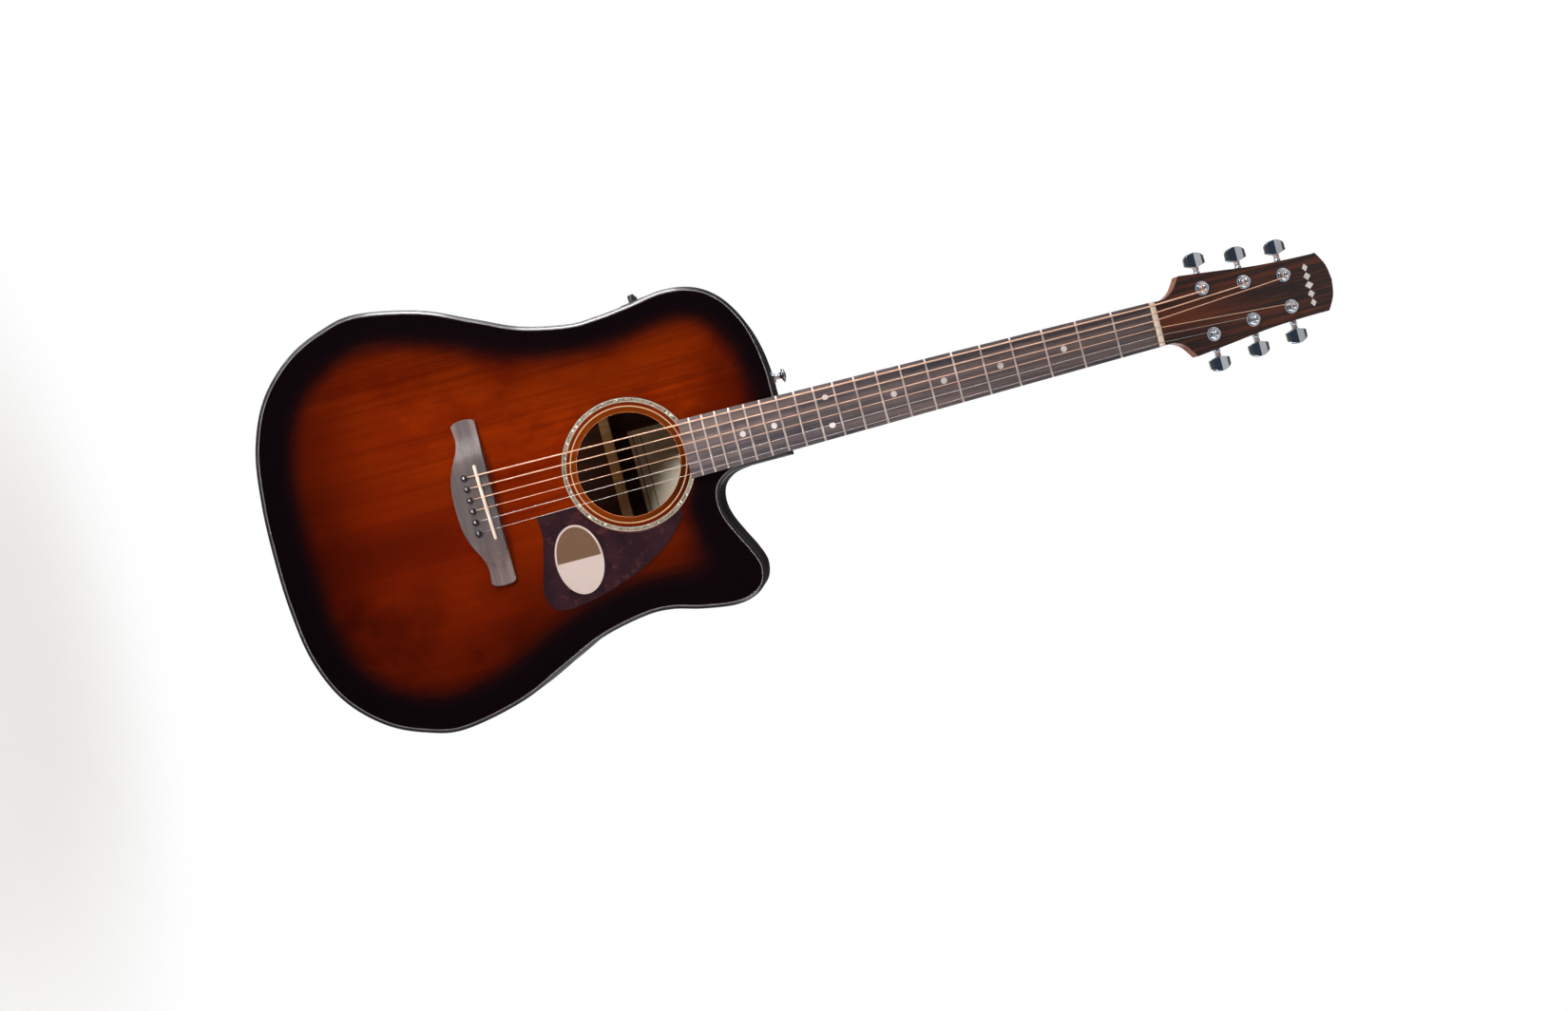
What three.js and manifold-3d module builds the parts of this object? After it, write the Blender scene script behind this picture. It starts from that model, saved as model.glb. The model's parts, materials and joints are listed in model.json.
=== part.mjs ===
// Steel-string acoustic guitar with a cutaway, upright: +Z up the neck, face towards -Y, +X the treble
// side. Millimetres. The origin is where the fingerboard's surface meets the nut, on the centre line.

import * as THREE from 'three';
import { mergeVertices } from 'three/addons/utils/BufferGeometryUtils.js';
import Module from 'manifold-3d';

const wasm = await Module();
wasm.setup();

// ---------------------------------------------------------------------------------------------
// Sizes

const GAP = 0.3; // clearance between touching pieces
const SCALE = 651; // string length from nut to saddle
const FRETS = 20;
const CROWN_RADIUS = 400; // of the fingerboard, nut and saddle

const NUT_WIDTH = 43;
const NUT_LENGTH = 5.5;
const BOARD_LENGTH = 457;
const BOARD_SPREAD = 0.015; // half-width gained per mm of length
const BOARD_THICKNESS = 6;
const FRET_HEIGHT = 1.1;
const FRET_HALF_WIDTH = 1.2;

const NECK_JOINT = -360.4; // z of the body's neck end
const TAIL = -864.7;
const FACE = 6.5; // y of the top's outer face
const TOP_THICKNESS = 2.8;
const BACK_THICKNESS = 2.8;
const RIB_THICKNESS = 2.4;
const BINDING_HEIGHT = 6;
const LINING_WIDTH = 6;
const LINING_HEIGHT = 13;
const HOLE = { z: -512.7, radius: 50 };
const ROSETTE = { inner: 59, outer: 64, depth: 1 };

const HEAD_TILT = THREE.MathUtils.degToRad(14);
const HEAD_FACE_AT_NUT = 0.6; // y of the head's face plane where it meets z = 0
const HEAD_LENGTH = 187.3;
const HEAD_THICKNESS = 13;
const HEADPLATE_THICKNESS = 2;

const BRIDGE = { z: -655, top: -2.3, halfLength: 81, wingTop: 2.6 };
const SADDLE = { z: -653, halfLength: 36.7, thickness: 3, crest: -5.3, slope: 0.034 };
const PIN = { z: -666.5, spacing: 10.8, radius: 2.2, headRadius: 2.9, tip: 22 };
const NUT_STRING_SPACING = 7.1;
const SADDLE_STRING_SPACING = 10.7;
const STRING_RADII = [0.67, 0.53, 0.41, 0.3, 0.2, 0.15]; // low to high
const STRING_OVER_NUT = 1.5;

const TUNER_ROWS = [
  { along: 56.1, across: 22.4 },
  { along: 98.6, across: 18.3 },
  { along: 139.8, across: 15.5 },
];
const TUNER = {
  postRadius: 3,
  postTop: 10.5,
  bushRadius: 4.8,
  bushTop: 3.5,
  wormOffset: 8, // centre distance of worm and gear
  wormRadius: 3.2,
  gearRadius: 4.5,
  gearTeeth: 14,
  shaftRadius: 2.2,
  caseFront: -15.4, // heights along the head face's normal
  caseBack: -26.4,
  wall: 1.2,
};
const WORM_HEIGHT = (TUNER.caseFront + TUNER.caseBack) / 2;

const PREAMP = { x: -148.1, z: -471, lean: THREE.MathUtils.degToRad(8), yMid: 49 };
const KNOB = { radius: 3.8, height: 10, shaft: 2.4 };

// ---------------------------------------------------------------------------------------------
// Solids

function toSolid(geometry) {
  const bare = geometry.clone();
  bare.deleteAttribute('normal');
  bare.deleteAttribute('uv');
  const merged = mergeVertices(bare, 1e-4);
  const position = merged.attributes.position;
  const index = merged.index.array;
  const a = new THREE.Vector3();
  const b = new THREE.Vector3();
  const c = new THREE.Vector3();
  const triangles = [];
  let volume = 0;
  for (let i = 0; i < index.length; i += 3) {
    const [p, q, r] = [index[i], index[i + 1], index[i + 2]];
    if (p === q || q === r || r === p) continue;
    a.fromBufferAttribute(position, p);
    b.fromBufferAttribute(position, q);
    c.fromBufferAttribute(position, r);
    volume += a.dot(b.cross(c));
    triangles.push([p, q, r]);
  }
  const outward = volume > 0 ? triangles : triangles.map(([p, q, r]) => [p, r, q]);
  const mesh = new wasm.Mesh({
    numProp: 3,
    vertProperties: new Float32Array(position.array),
    triVerts: new Uint32Array(outward.flat()),
  });
  return new wasm.Manifold(mesh);
}

function toGeometry(solid) {
  const mesh = solid.getMesh();
  const geometry = new THREE.BufferGeometry();
  geometry.setAttribute('position', new THREE.BufferAttribute(new Float32Array(mesh.vertProperties), 3));
  geometry.setIndex(new THREE.BufferAttribute(new Uint32Array(mesh.triVerts), 1));
  geometry.computeVertexNormals();
  return geometry;
}

function joined(solids) {
  return solids.reduce((sum, solid) => sum.add(solid));
}

function cut(solid, tools) {
  return tools.reduce((rest, tool) => rest.subtract(tool), solid);
}

function moved(solid, matrix) {
  return solid.transform(matrix.toArray());
}

function box(x, y, z) {
  const geometry = new THREE.BoxGeometry(x[1] - x[0], y[1] - y[0], z[1] - z[0]);
  geometry.translate((x[0] + x[1]) / 2, (y[0] + y[1]) / 2, (z[0] + z[1]) / 2);
  return toSolid(geometry);
}

// A plate with its outline in the x-z plane, from y = front to y = back.
function plate(outline, front, back) {
  const shape = new THREE.Shape(outline.map(([x, z]) => new THREE.Vector2(x, z)));
  const geometry = new THREE.ExtrudeGeometry(shape, { depth: back - front, bevelEnabled: false });
  geometry.rotateX(Math.PI / 2);
  geometry.translate(0, back, 0);
  return toSolid(geometry);
}

// A bar with its outline in the x-y plane, from z = low to z = high.
function bar(outline, low, high) {
  const shape = new THREE.Shape(outline.map(([x, y]) => new THREE.Vector2(x, y)));
  const geometry = new THREE.ExtrudeGeometry(shape, { depth: high - low, bevelEnabled: false });
  geometry.translate(0, 0, low);
  return toSolid(geometry);
}

// A solid of revolution. profile holds [radius, height] pairs along direction, from start.
function turned(profile, start, direction, sides = 12) {
  const points = profile.map(([radius, height]) => new THREE.Vector2(radius, height));
  const geometry = new THREE.LatheGeometry(points, sides);
  const up = new THREE.Vector3(0, 1, 0);
  geometry.applyQuaternion(new THREE.Quaternion().setFromUnitVectors(up, direction));
  geometry.translate(start.x, start.y, start.z);
  return toSolid(geometry);
}

function rod(radius, from, to, sides = 12) {
  const direction = to.clone().sub(from);
  const length = direction.length();
  return turned([[0, 0], [radius, 0], [radius, length], [0, length]], from, direction.normalize(), sides);
}

// A solid through rings of equal length, closed by a fan at each end.
function loft(rings) {
  const count = rings[0].length;
  const vertices = rings.flat();
  const triangles = [];
  for (let ring = 0; ring + 1 < rings.length; ring += 1) {
    for (let i = 0; i < count; i += 1) {
      const next = (i + 1) % count;
      const [a, b] = [ring * count + i, ring * count + next];
      triangles.push(a, b, b + count, a, b + count, a + count);
    }
  }
  const last = (rings.length - 1) * count;
  for (let i = 1; i + 1 < count; i += 1) {
    triangles.push(0, i + 1, i, last, last + i, last + i + 1);
  }
  const geometry = new THREE.BufferGeometry().setFromPoints(vertices);
  geometry.setIndex(triangles);
  return toSolid(geometry);
}

// A wire of round section along straight stretches; its rings lie in planes of constant z.
function wire(points, radius, sides = 8) {
  return loft(points.map((point) => {
    const ring = [];
    for (let i = 0; i < sides; i += 1) {
      const angle = (2 * Math.PI * i) / sides;
      const x = point.x + radius * Math.cos(angle);
      ring.push(new THREE.Vector3(x, point.y + radius * Math.sin(angle), point.z));
    }
    return ring;
  }));
}

// A block whose front and back faces follow functions of x and z.
function shapedBlock(x, z, front, back, columns = 8, rows = 10) {
  const geometry = new THREE.BoxGeometry(x[1] - x[0], 1, z[1] - z[0], columns, 1, rows);
  geometry.translate((x[0] + x[1]) / 2, 0, (z[0] + z[1]) / 2);
  const position = geometry.attributes.position;
  for (let i = 0; i < position.count; i += 1) {
    const face = position.getY(i) > 0 ? back : front;
    position.setY(i, face(position.getX(i), position.getZ(i)));
  }
  return toSolid(geometry);
}

// ---------------------------------------------------------------------------------------------
// Body outline, in x and z

function splinePoints(points, perSpan) {
  const curve = new THREE.SplineCurve(points.map(([x, z]) => new THREE.Vector2(x, z)));
  return curve.getPoints(perSpan * (points.length - 1)).map((point) => [point.x, point.y]);
}

const CUTAWAY = [
  [30, -404], [33, -421], [42, -433], [56, -437], [72, -434.5], [90, -426.5], [110, -416.5],
  [126, -411.8], [142.2, -416], [152, -429], [155, -449], [150.5, -480],
];
const LOWER_HALF = [
  [143.7, -508], [143.6, -535], [153.2, -579], [171.4, -620], [192.6, -668], [204.8, -728],
  [198.6, -765], [181.1, -802.4], [148.1, -835.5], [103.4, -855.2], [51.6, -862.9], [0, TAIL],
];
const BASS_SHOULDER = [
  [-146.7, -478], [-152, -440], [-146.9, -410.2], [-131.4, -388], [-106, -372], [-78, -363.7],
  [-50, NECK_JOINT],
];

function bodyOutline() {
  const mirroredHalf = LOWER_HALF.slice(0, -1).reverse().map(([x, z]) => [-x, z]);
  const around = [...CUTAWAY, ...LOWER_HALF, ...mirroredHalf, ...BASS_SHOULDER];
  return [[30, NECK_JOINT], ...splinePoints(around, 2)];
}

// The outline moved inwards by distance, each corner mitred.
function inset(outline, distance) {
  const count = outline.length;
  return outline.map(([x, z], i) => {
    const [px, pz] = outline[(i + count - 1) % count];
    const [nx, nz] = outline[(i + 1) % count];
    const before = new THREE.Vector2(z - pz, px - x).normalize();
    const after = new THREE.Vector2(nz - z, x - nx).normalize();
    const middle = before.clone().add(after);
    const reach = (2 * distance) / middle.lengthSq();
    return [x + middle.x * reach, z + middle.y * reach];
  });
}

const OUTLINE = bodyOutline();

function band(outer, inner, front, back) {
  const hollow = plate(inset(OUTLINE, inner), front - 1, back + 1);
  return plate(inset(OUTLINE, outer), front, back).subtract(hollow);
}

// The back's outer face: the body deepens towards the tail and the back is domed.
function backFace(x, z) {
  const along = (NECK_JOINT - z) / (NECK_JOINT - TAIL);
  return 107 + 18 * along + 8 * along * (1 - along) - (x * x) / 8000;
}

function behind(offset) {
  return (x, z) => backFace(x, z) + offset;
}

const BODY_X = [-215, 215];
const BODY_Z = [TAIL - 12, NECK_JOINT + 12];

function archedBand(outer, inner, frontOffset, backOffset) {
  const slab = shapedBlock(BODY_X, BODY_Z, behind(frontOffset), behind(backOffset));
  return band(outer, inner, FACE + 50, FACE + 150).intersect(slab);
}

// ---------------------------------------------------------------------------------------------
// Body

const LINING_OUTER = RIB_THICKNESS + GAP;
const LINING_INNER = LINING_OUTER + LINING_WIDTH;
const UNDER_TOP = FACE + TOP_THICKNESS + GAP;
const IN_FRONT_OF_BACK = -(BACK_THICKNESS + GAP);

function disc(x, z, radius, front, back, sides) {
  return rod(radius, new THREE.Vector3(x, front, z), new THREE.Vector3(x, back, z), sides);
}

function stringPlace(index, spacing) {
  return (index - 2.5) * spacing;
}

function pinHoles(front, back) {
  return STRING_RADII.map((_, index) => disc(
    stringPlace(index, PIN.spacing), PIN.z, PIN.radius + 0.5, front, back, 10));
}

function makeTop() {
  const wood = plate(inset(OUTLINE, LINING_OUTER), FACE, FACE + TOP_THICKNESS);
  const hole = disc(0, HOLE.z, HOLE.radius, 0, 20, 36);
  const recessFloor = FACE + ROSETTE.depth;
  const recess = disc(0, HOLE.z, ROSETTE.outer + GAP, 0, recessFloor, 36)
    .subtract(disc(0, HOLE.z, ROSETTE.inner - GAP, -1, recessFloor + 1, 36));
  return cut(wood, [hole, recess, ...pinHoles(0, 20)]);
}

function makeRosette() {
  const back = FACE + ROSETTE.depth - GAP;
  return disc(0, HOLE.z, ROSETTE.outer, FACE, back, 36)
    .subtract(disc(0, HOLE.z, ROSETTE.inner, FACE - 1, back + 1, 36));
}

function makeBack() {
  const slab = shapedBlock(BODY_X, BODY_Z, behind(-BACK_THICKNESS), behind(0));
  return plate(inset(OUTLINE, LINING_OUTER), 60, 160).intersect(slab);
}

const RIB_FRONT = FACE + BINDING_HEIGHT + GAP;

function ribRing() {
  const room = shapedBlock(BODY_X, BODY_Z, () => RIB_FRONT, behind(-BINDING_HEIGHT - GAP));
  return band(0, RIB_THICKNESS, RIB_FRONT - 1, 160).intersect(room);
}

function makeSide(sign) {
  const half = box(sign > 0 ? [GAP / 2, 250] : [-250, -GAP / 2], [0, 170], [-900, -300]);
  const side = ribRing().intersect(half);
  if (sign > 0) return side.subtract(jackHole());
  return cut(side, [strapScrewHole(), jackHole(), ...knobHoles()]);
}

// A block glued inside the ribs, notched round the two linings.
function makeBlock(x, z) {
  const wood = shapedBlock(x, z, () => UNDER_TOP, behind(IN_FRONT_OF_BACK), 2, 2);
  const notchOuter = LINING_OUTER - GAP;
  const notchInner = LINING_INNER + GAP;
  const topNotch = band(notchOuter, notchInner, UNDER_TOP - 1, UNDER_TOP + LINING_HEIGHT + GAP);
  const backNotch = archedBand(notchOuter, notchInner, IN_FRONT_OF_BACK - LINING_HEIGHT - GAP, 5);
  return cut(wood, [topNotch, backNotch]);
}

function makeNeckBlock() {
  return makeBlock([-60, 30 - LINING_OUTER], [NECK_JOINT - 48, NECK_JOINT - LINING_OUTER])
    .intersect(plate(inset(OUTLINE, LINING_OUTER), 0, 170))
    .subtract(strapScrewHole());
}

function makeEndBlock() {
  return makeBlock([-38, 38], [TAIL + LINING_OUTER, TAIL + 24])
    .intersect(plate(inset(OUTLINE, LINING_OUTER), 0, 170))
    .subtract(jackHole());
}

// A bar under the top, between two points of its centre line in x and z.
function topBar(from, to, width, height) {
  const run = new THREE.Vector2(to[0] - from[0], to[1] - from[1]);
  const side = new THREE.Vector2(-run.y, run.x).setLength(width / 2);
  const corners = [
    [from[0] + side.x, from[1] + side.y], [to[0] + side.x, to[1] + side.y],
    [to[0] - side.x, to[1] - side.y], [from[0] - side.x, from[1] - side.y],
  ];
  return plate(corners, UNDER_TOP, UNDER_TOP + height);
}

function makeXBrace() {
  const legs = [1, -1].map((sign) => topBar([sign * 103, -481], [-sign * 142, -752], 8, 14));
  return joined(legs);
}

function makeBridgePlate() {
  const outline = [[-34, -642], [34, -642], [72, -688], [-72, -688]];
  return cut(plate(outline, UNDER_TOP, UNDER_TOP + 2.5), pinHoles(0, 20));
}

function makeBackBrace(halfLength, z, width) {
  const front = behind(IN_FRONT_OF_BACK - 12);
  const along = [z - width / 2, z + width / 2];
  return shapedBlock([-halfLength, halfLength], along, front, behind(IN_FRONT_OF_BACK), 6, 1);
}

function makePickguard() {
  const lower = splinePoints([
    [60, -475.5], [82, -496], [100, -528], [113, -565], [119, -600], [114, -616.5], [98, -622],
    [72, -615.5], [45, -609.5], [26, -611],
  ], 2);
  const ringRadius = ROSETTE.outer + 0.8;
  const start = Math.atan2(-573 - HOLE.z, 26);
  const end = Math.atan2(-474.5 - HOLE.z, 52.5);
  const steps = 8;
  const inner = [];
  for (let i = 0; i <= steps; i += 1) {
    const angle = start + ((end - start) * i) / steps;
    inner.push([ringRadius * Math.cos(angle), HOLE.z + ringRadius * Math.sin(angle)]);
  }
  return plate([...lower, ...inner], FACE - GAP - 1, FACE - GAP);
}

// ---------------------------------------------------------------------------------------------
// Body fittings

const STRAP = new THREE.Vector3(-46, 40, NECK_JOINT + GAP);

function strapScrewHole() {
  return rod(2.4, new THREE.Vector3(STRAP.x, STRAP.y, NECK_JOINT - 26), STRAP);
}

function makeStrapButton() {
  const profile = [
    [0, -22], [1.9, -18], [1.9, 0], [5.5, 0], [5.5, 3], [2.8, 5.5], [2.8, 8], [7, 10.5],
    [7, 11.8], [5.5, 12.4], [0, 12.4],
  ];
  return turned(profile, STRAP, new THREE.Vector3(0, 0, 1), 16);
}

const JACK = new THREE.Vector3(0, 66, TAIL - GAP);

function jackHole() {
  return rod(5.2, new THREE.Vector3(JACK.x, JACK.y, TAIL - 5), new THREE.Vector3(JACK.x, JACK.y, TAIL + 30));
}

function makeEndpinJack() {
  const profile = [
    [0, -32], [4.6, -32], [4.6, 0], [8, 0], [8, 2.5], [5, 4.5], [5, 8.5], [7, 10.5], [7, 12.5],
    [6, 13], [3.3, 13], [3.3, -20], [0, -20],
  ];
  return turned(profile, JACK, new THREE.Vector3(0, 0, -1), 16);
}

const PREAMP_OUT = new THREE.Vector3(-Math.cos(PREAMP.lean), 0, -Math.sin(PREAMP.lean));
const KNOB_PLACES = [-12, 12].map((off) => new THREE.Vector3(PREAMP.x, PREAMP.yMid + off, PREAMP.z));

function knobHoles() {
  return KNOB_PLACES.map((base) => {
    const from = base.clone().addScaledVector(PREAMP_OUT, -8);
    const to = base.clone().addScaledVector(PREAMP_OUT, 8);
    return rod(KNOB.shaft + 0.5, from, to);
  });
}

function makePreampPanel() {
  const local = box([-0.6, 1.6], [PREAMP.yMid - 24, PREAMP.yMid + 24], [-13, 13]);
  const turn = new THREE.Matrix4().makeRotationY(Math.PI - PREAMP.lean);
  turn.setPosition(PREAMP.x, 0, PREAMP.z);
  return cut(moved(local, turn), [plate(inset(OUTLINE, -GAP), 0, 170), ...knobHoles()]);
}

function makeKnob(base) {
  const face = 2.3; // just proud of the panel
  const profile = [
    [0, -7], [KNOB.shaft, -7], [KNOB.shaft, face], [KNOB.radius, face],
    [KNOB.radius - 0.4, KNOB.height - 0.8], [KNOB.radius - 1.2, KNOB.height], [0, KNOB.height],
  ];
  return turned(profile, base, PREAMP_OUT, 14);
}

// ---------------------------------------------------------------------------------------------
// Neck

function boardHalfWidth(z) {
  return NUT_WIDTH / 2 - BOARD_SPREAD * z;
}

function crown(x) {
  return (x * x) / (2 * CROWN_RADIUS);
}

function fretPlace(number) {
  return -SCALE * (1 - 2 ** (-number / 12));
}

function makeFingerboard() {
  const stations = [{ z: -GAP, rise: 0 }];
  for (let number = 1; number <= FRETS; number += 1) {
    const z = fretPlace(number);
    stations.push({ z: z + FRET_HALF_WIDTH, rise: 0 });
    stations.push({ z, rise: FRET_HEIGHT });
    stations.push({ z: z - FRET_HALF_WIDTH, rise: 0 });
  }
  stations.push({ z: -BOARD_LENGTH, rise: 0 });
  return loft(stations.map(({ z, rise }) => {
    const half = boardHalfWidth(z);
    const across = [-1, -0.5, 0, 0.5, 1].map((part) => part * half);
    const upper = across.map((x) => new THREE.Vector3(x, crown(x) - rise, z));
    const lower = [half, -half].map((x) => new THREE.Vector3(x, BOARD_THICKNESS, z));
    return [...upper, ...lower];
  }));
}

// Points on the head: along its face from the nut, across it, and proud of the face.
function onHead(across, along, proud = 0) {
  const [sin, cos] = [Math.sin(HEAD_TILT), Math.cos(HEAD_TILT)];
  return new THREE.Vector3(
    across, HEAD_FACE_AT_NUT + along * sin - proud * cos, along * cos + proud * sin);
}

// Turns and moves a piece made with x across, z along and -y out of the face onto the head.
function headFrame(across = 0, along = 0, proud = 0) {
  const matrix = new THREE.Matrix4().makeRotationX(-HEAD_TILT);
  return matrix.setPosition(onHead(across, along, proud));
}

function headOutline(start) {
  const half = splinePoints([[20.8, 11], [21.8, 18], [26.5, 26.4], [34, 32.5], [39, 35.8]], 2);
  const side = splinePoints([[39, 35.8], [35.1, 72], [31, 109], [29.2, 140], [28.2, 177]], 2);
  const crownTop = splinePoints([[28.2, 177], [15, 184.6], [0, HEAD_LENGTH]], 2);
  const right = [[20.8, start], ...half, ...side.slice(1), ...crownTop.slice(1)];
  const left = right.slice(0, -1).reverse().map(([x, along]) => [-x, along]);
  return [...right, ...left];
}

function tunerPlaces() {
  const places = [];
  for (const side of [-1, 1]) {
    const rows = side < 0 ? TUNER_ROWS : [...TUNER_ROWS].reverse();
    for (const { along, across } of rows) {
      places.push({ side, along, across: side * across });
    }
  }
  return places;
}

function bushHoles() {
  return tunerPlaces().map(({ across, along }) => rod(
    TUNER.bushRadius + 0.4, onHead(across, along, -30), onHead(across, along, 30)));
}

function makeHeadplate() {
  const start = NUT_LENGTH + 0.8;
  const veneer = plate(headOutline(start), 0, HEADPLATE_THICKNESS);
  return cut(moved(veneer, headFrame()), bushHoles());
}

// Half of a rounded section: flat in front at y = front, bulging back to y = front + depth.
function neckRing(z, halfWidth, front, depth, power) {
  const ring = [];
  const steps = 12;
  for (let i = 0; i <= steps; i += 1) {
    const angle = (Math.PI * i) / steps;
    const x = -halfWidth * Math.sign(Math.cos(angle)) * Math.abs(Math.cos(angle)) ** (2 / power);
    ring.push(new THREE.Vector3(x, front + depth * Math.sin(angle) ** (2 / power), z));
  }
  return ring;
}

const NECK_FRONT = BOARD_THICKNESS + GAP;
const HEEL_END = NECK_JOINT + GAP;
const HEEL_FLAT = 92; // y where the heel is cut flat for its cap

function neckShaft() {
  const heel = [
    [10, 12.5], [0, 14.5], [-60, 15], [-250, 16.2], [-298, 17.5], [-314, 22], [-323, 31], [-330, 46],
    [-335, 66], [-340, 92], [-345, 104], [-352, 111], [HEEL_END, 114],
  ];
  return loft(heel.map(([z, depth]) => {
    const power = z > -298 ? 2 : 2.3;
    return neckRing(z, boardHalfWidth(Math.min(z, 0)) - 0.4, NECK_FRONT, depth, power);
  }));
}

function rodChannel() {
  return box([-3.6, 3.6], [NECK_FRONT - 5, NECK_FRONT + 9.5], [NECK_JOINT - 5, -6]);
}

// The strip of neck wood under the fingerboard, over the body, is left out: the board rests on the top.
function makeNeck() {
  const front = HEADPLATE_THICKNESS + GAP;
  const blank = plate(headOutline(4), front, front + HEAD_THICKNESS);
  const head = moved(blank, headFrame());
  const aboveNut = box([-60, 60], [-20, NECK_FRONT], [-400, NUT_LENGTH + 0.5]);
  const heelTrim = box([-60, 60], [HEEL_FLAT, 200], [-400, -200]);
  return cut(joined([neckShaft(), head]), [aboveNut, heelTrim, rodChannel(), ...bushHoles()]);
}

function makeTrussRod() {
  return box([-3, 3], [NECK_FRONT + GAP, NECK_FRONT + 9], [HEEL_END, -7]);
}

function makeHeelCap() {
  const front = HEEL_FLAT + GAP;
  const outline = [];
  const steps = 12;
  for (let i = 0; i <= steps; i += 1) {
    const angle = (Math.PI * i) / steps;
    outline.push([17.5 * Math.cos(angle), HEEL_END + 20.5 * Math.sin(angle)]);
  }
  return plate(outline, front, front + 2);
}

function nutStringHeight(index) {
  const x = stringPlace(index, NUT_STRING_SPACING);
  return crown(x) - STRING_OVER_NUT - STRING_RADII[index];
}

function makeNut() {
  const profile = [[-1, -0.5], [-0.5, 0], [0, 0.1], [0.5, 0], [1, -0.5]];
  const top = profile.map(([part, lift]) => [(part * NUT_WIDTH) / 2, lift]);
  const ring = (z, back) => [
    ...top.map(([x, lift]) => new THREE.Vector3(x, crown(x) - 2.4 - lift + back, z)),
    new THREE.Vector3(NUT_WIDTH / 2, NECK_FRONT - GAP, z),
    new THREE.Vector3(-NUT_WIDTH / 2, NECK_FRONT - GAP, z),
  ];
  const blank = loft([ring(0, 0), ring(NUT_LENGTH, 1)]);
  const slots = STRING_RADII.map((radius, index) => {
    const x = stringPlace(index, NUT_STRING_SPACING);
    const half = radius + 2 * GAP; // the string also fans out behind the nut
    return box([x - half, x + half], [-10, nutStringHeight(index) + half + 0.9], [-1, NUT_LENGTH + 1]);
  });
  return cut(blank, slots);
}

// ---------------------------------------------------------------------------------------------
// Bridge and strings

function saddleFrame() {
  const matrix = new THREE.Matrix4().makeRotationY(-Math.atan(SADDLE.slope));
  return matrix.setPosition(0, 0, SADDLE.z);
}

function makeSaddle() {
  const half = SADDLE.halfLength;
  const across = [-1, -0.6, -0.2, 0.2, 0.6, 1].map((part) => part * half);
  const ring = (z) => [
    ...across.map((x) => new THREE.Vector3(x, SADDLE.crest + crown(x), z)),
    new THREE.Vector3(half, 2, z),
    new THREE.Vector3(-half, 2, z),
  ];
  return moved(loft([ring(-SADDLE.thickness / 2), ring(SADDLE.thickness / 2)]), saddleFrame());
}

function bridgeOutline() {
  const belly = splinePoints([
    [77, -667.5], [62, -666.5], [50, -669.5], [36, -676.5], [20, -681], [0, -682.3],
  ], 2);
  const right = [[78, -643.8], [BRIDGE.halfLength, BRIDGE.z], ...belly];
  const left = right.slice(0, -1).reverse().map(([x, z]) => [-x, z]);
  return [...right, ...left];
}

function makeBridge() {
  const back = FACE - GAP;
  const wood = plate(bridgeOutline(), BRIDGE.top, back);
  const tip = BRIDGE.halfLength + 1;
  const half = [[44, BRIDGE.top], [50, 0], [60, 1.7], [tip, BRIDGE.wingTop]];
  const profile = [...half, [tip, back], [-tip, back], ...half.slice().reverse().map(([x, y]) => [-x, y])];
  const section = bar(profile, BRIDGE.z - 45, BRIDGE.z + 25);
  const slot = box(
    [-SADDLE.halfLength - GAP, SADDLE.halfLength + GAP], [-10, 2 + GAP],
    [-SADDLE.thickness / 2 - GAP, SADDLE.thickness / 2 + GAP]);
  const shaped = wood.intersect(section);
  return cut(shaped, [moved(slot, saddleFrame()), ...pinHoles(-10, 10)]);
}

function makePin(index) {
  const seat = BRIDGE.top - GAP;
  const length = PIN.tip - seat;
  const profile = [
    [0, 0], [1.7, 0.6], [PIN.radius, length], [PIN.headRadius, length],
    [PIN.headRadius, length + 1.2], [2.2, length + 2.8], [0, length + 3.4],
  ];
  const tip = new THREE.Vector3(stringPlace(index, PIN.spacing), PIN.tip, PIN.z);
  return turned(profile, tip, new THREE.Vector3(0, -1, 0), 10);
}

// Posts in string order: low E, A, D on the bass side, then G, B, high E on the treble side.
function makeString(index) {
  const radius = STRING_RADII[index];
  const saddleX = stringPlace(index, SADDLE_STRING_SPACING);
  const saddleZ = SADDLE.z + SADDLE.slope * saddleX;
  const saddleY = SADDLE.crest + crown(saddleX) - GAP - radius;
  const pinX = stringPlace(index, PIN.spacing);
  const nutX = stringPlace(index, NUT_STRING_SPACING);
  const nutY = nutStringHeight(index);
  const { side, across, along } = tunerPlaces()[index];
  const post = onHead(across - side * (TUNER.postRadius + radius + GAP), along, 7);
  const rest = SADDLE.thickness / 2 + 0.3;
  return wire([
    new THREE.Vector3(pinX, BRIDGE.top - GAP - radius - 0.2, PIN.z + PIN.headRadius + 0.6),
    new THREE.Vector3(saddleX, saddleY, saddleZ - rest),
    new THREE.Vector3(saddleX, saddleY, saddleZ + rest),
    new THREE.Vector3(nutX, nutY, 0),
    post,
  ], radius);
}

// ---------------------------------------------------------------------------------------------
// Tuners. Each is made at the origin with +x outwards from the head, z along it and -y out of its face.

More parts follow.
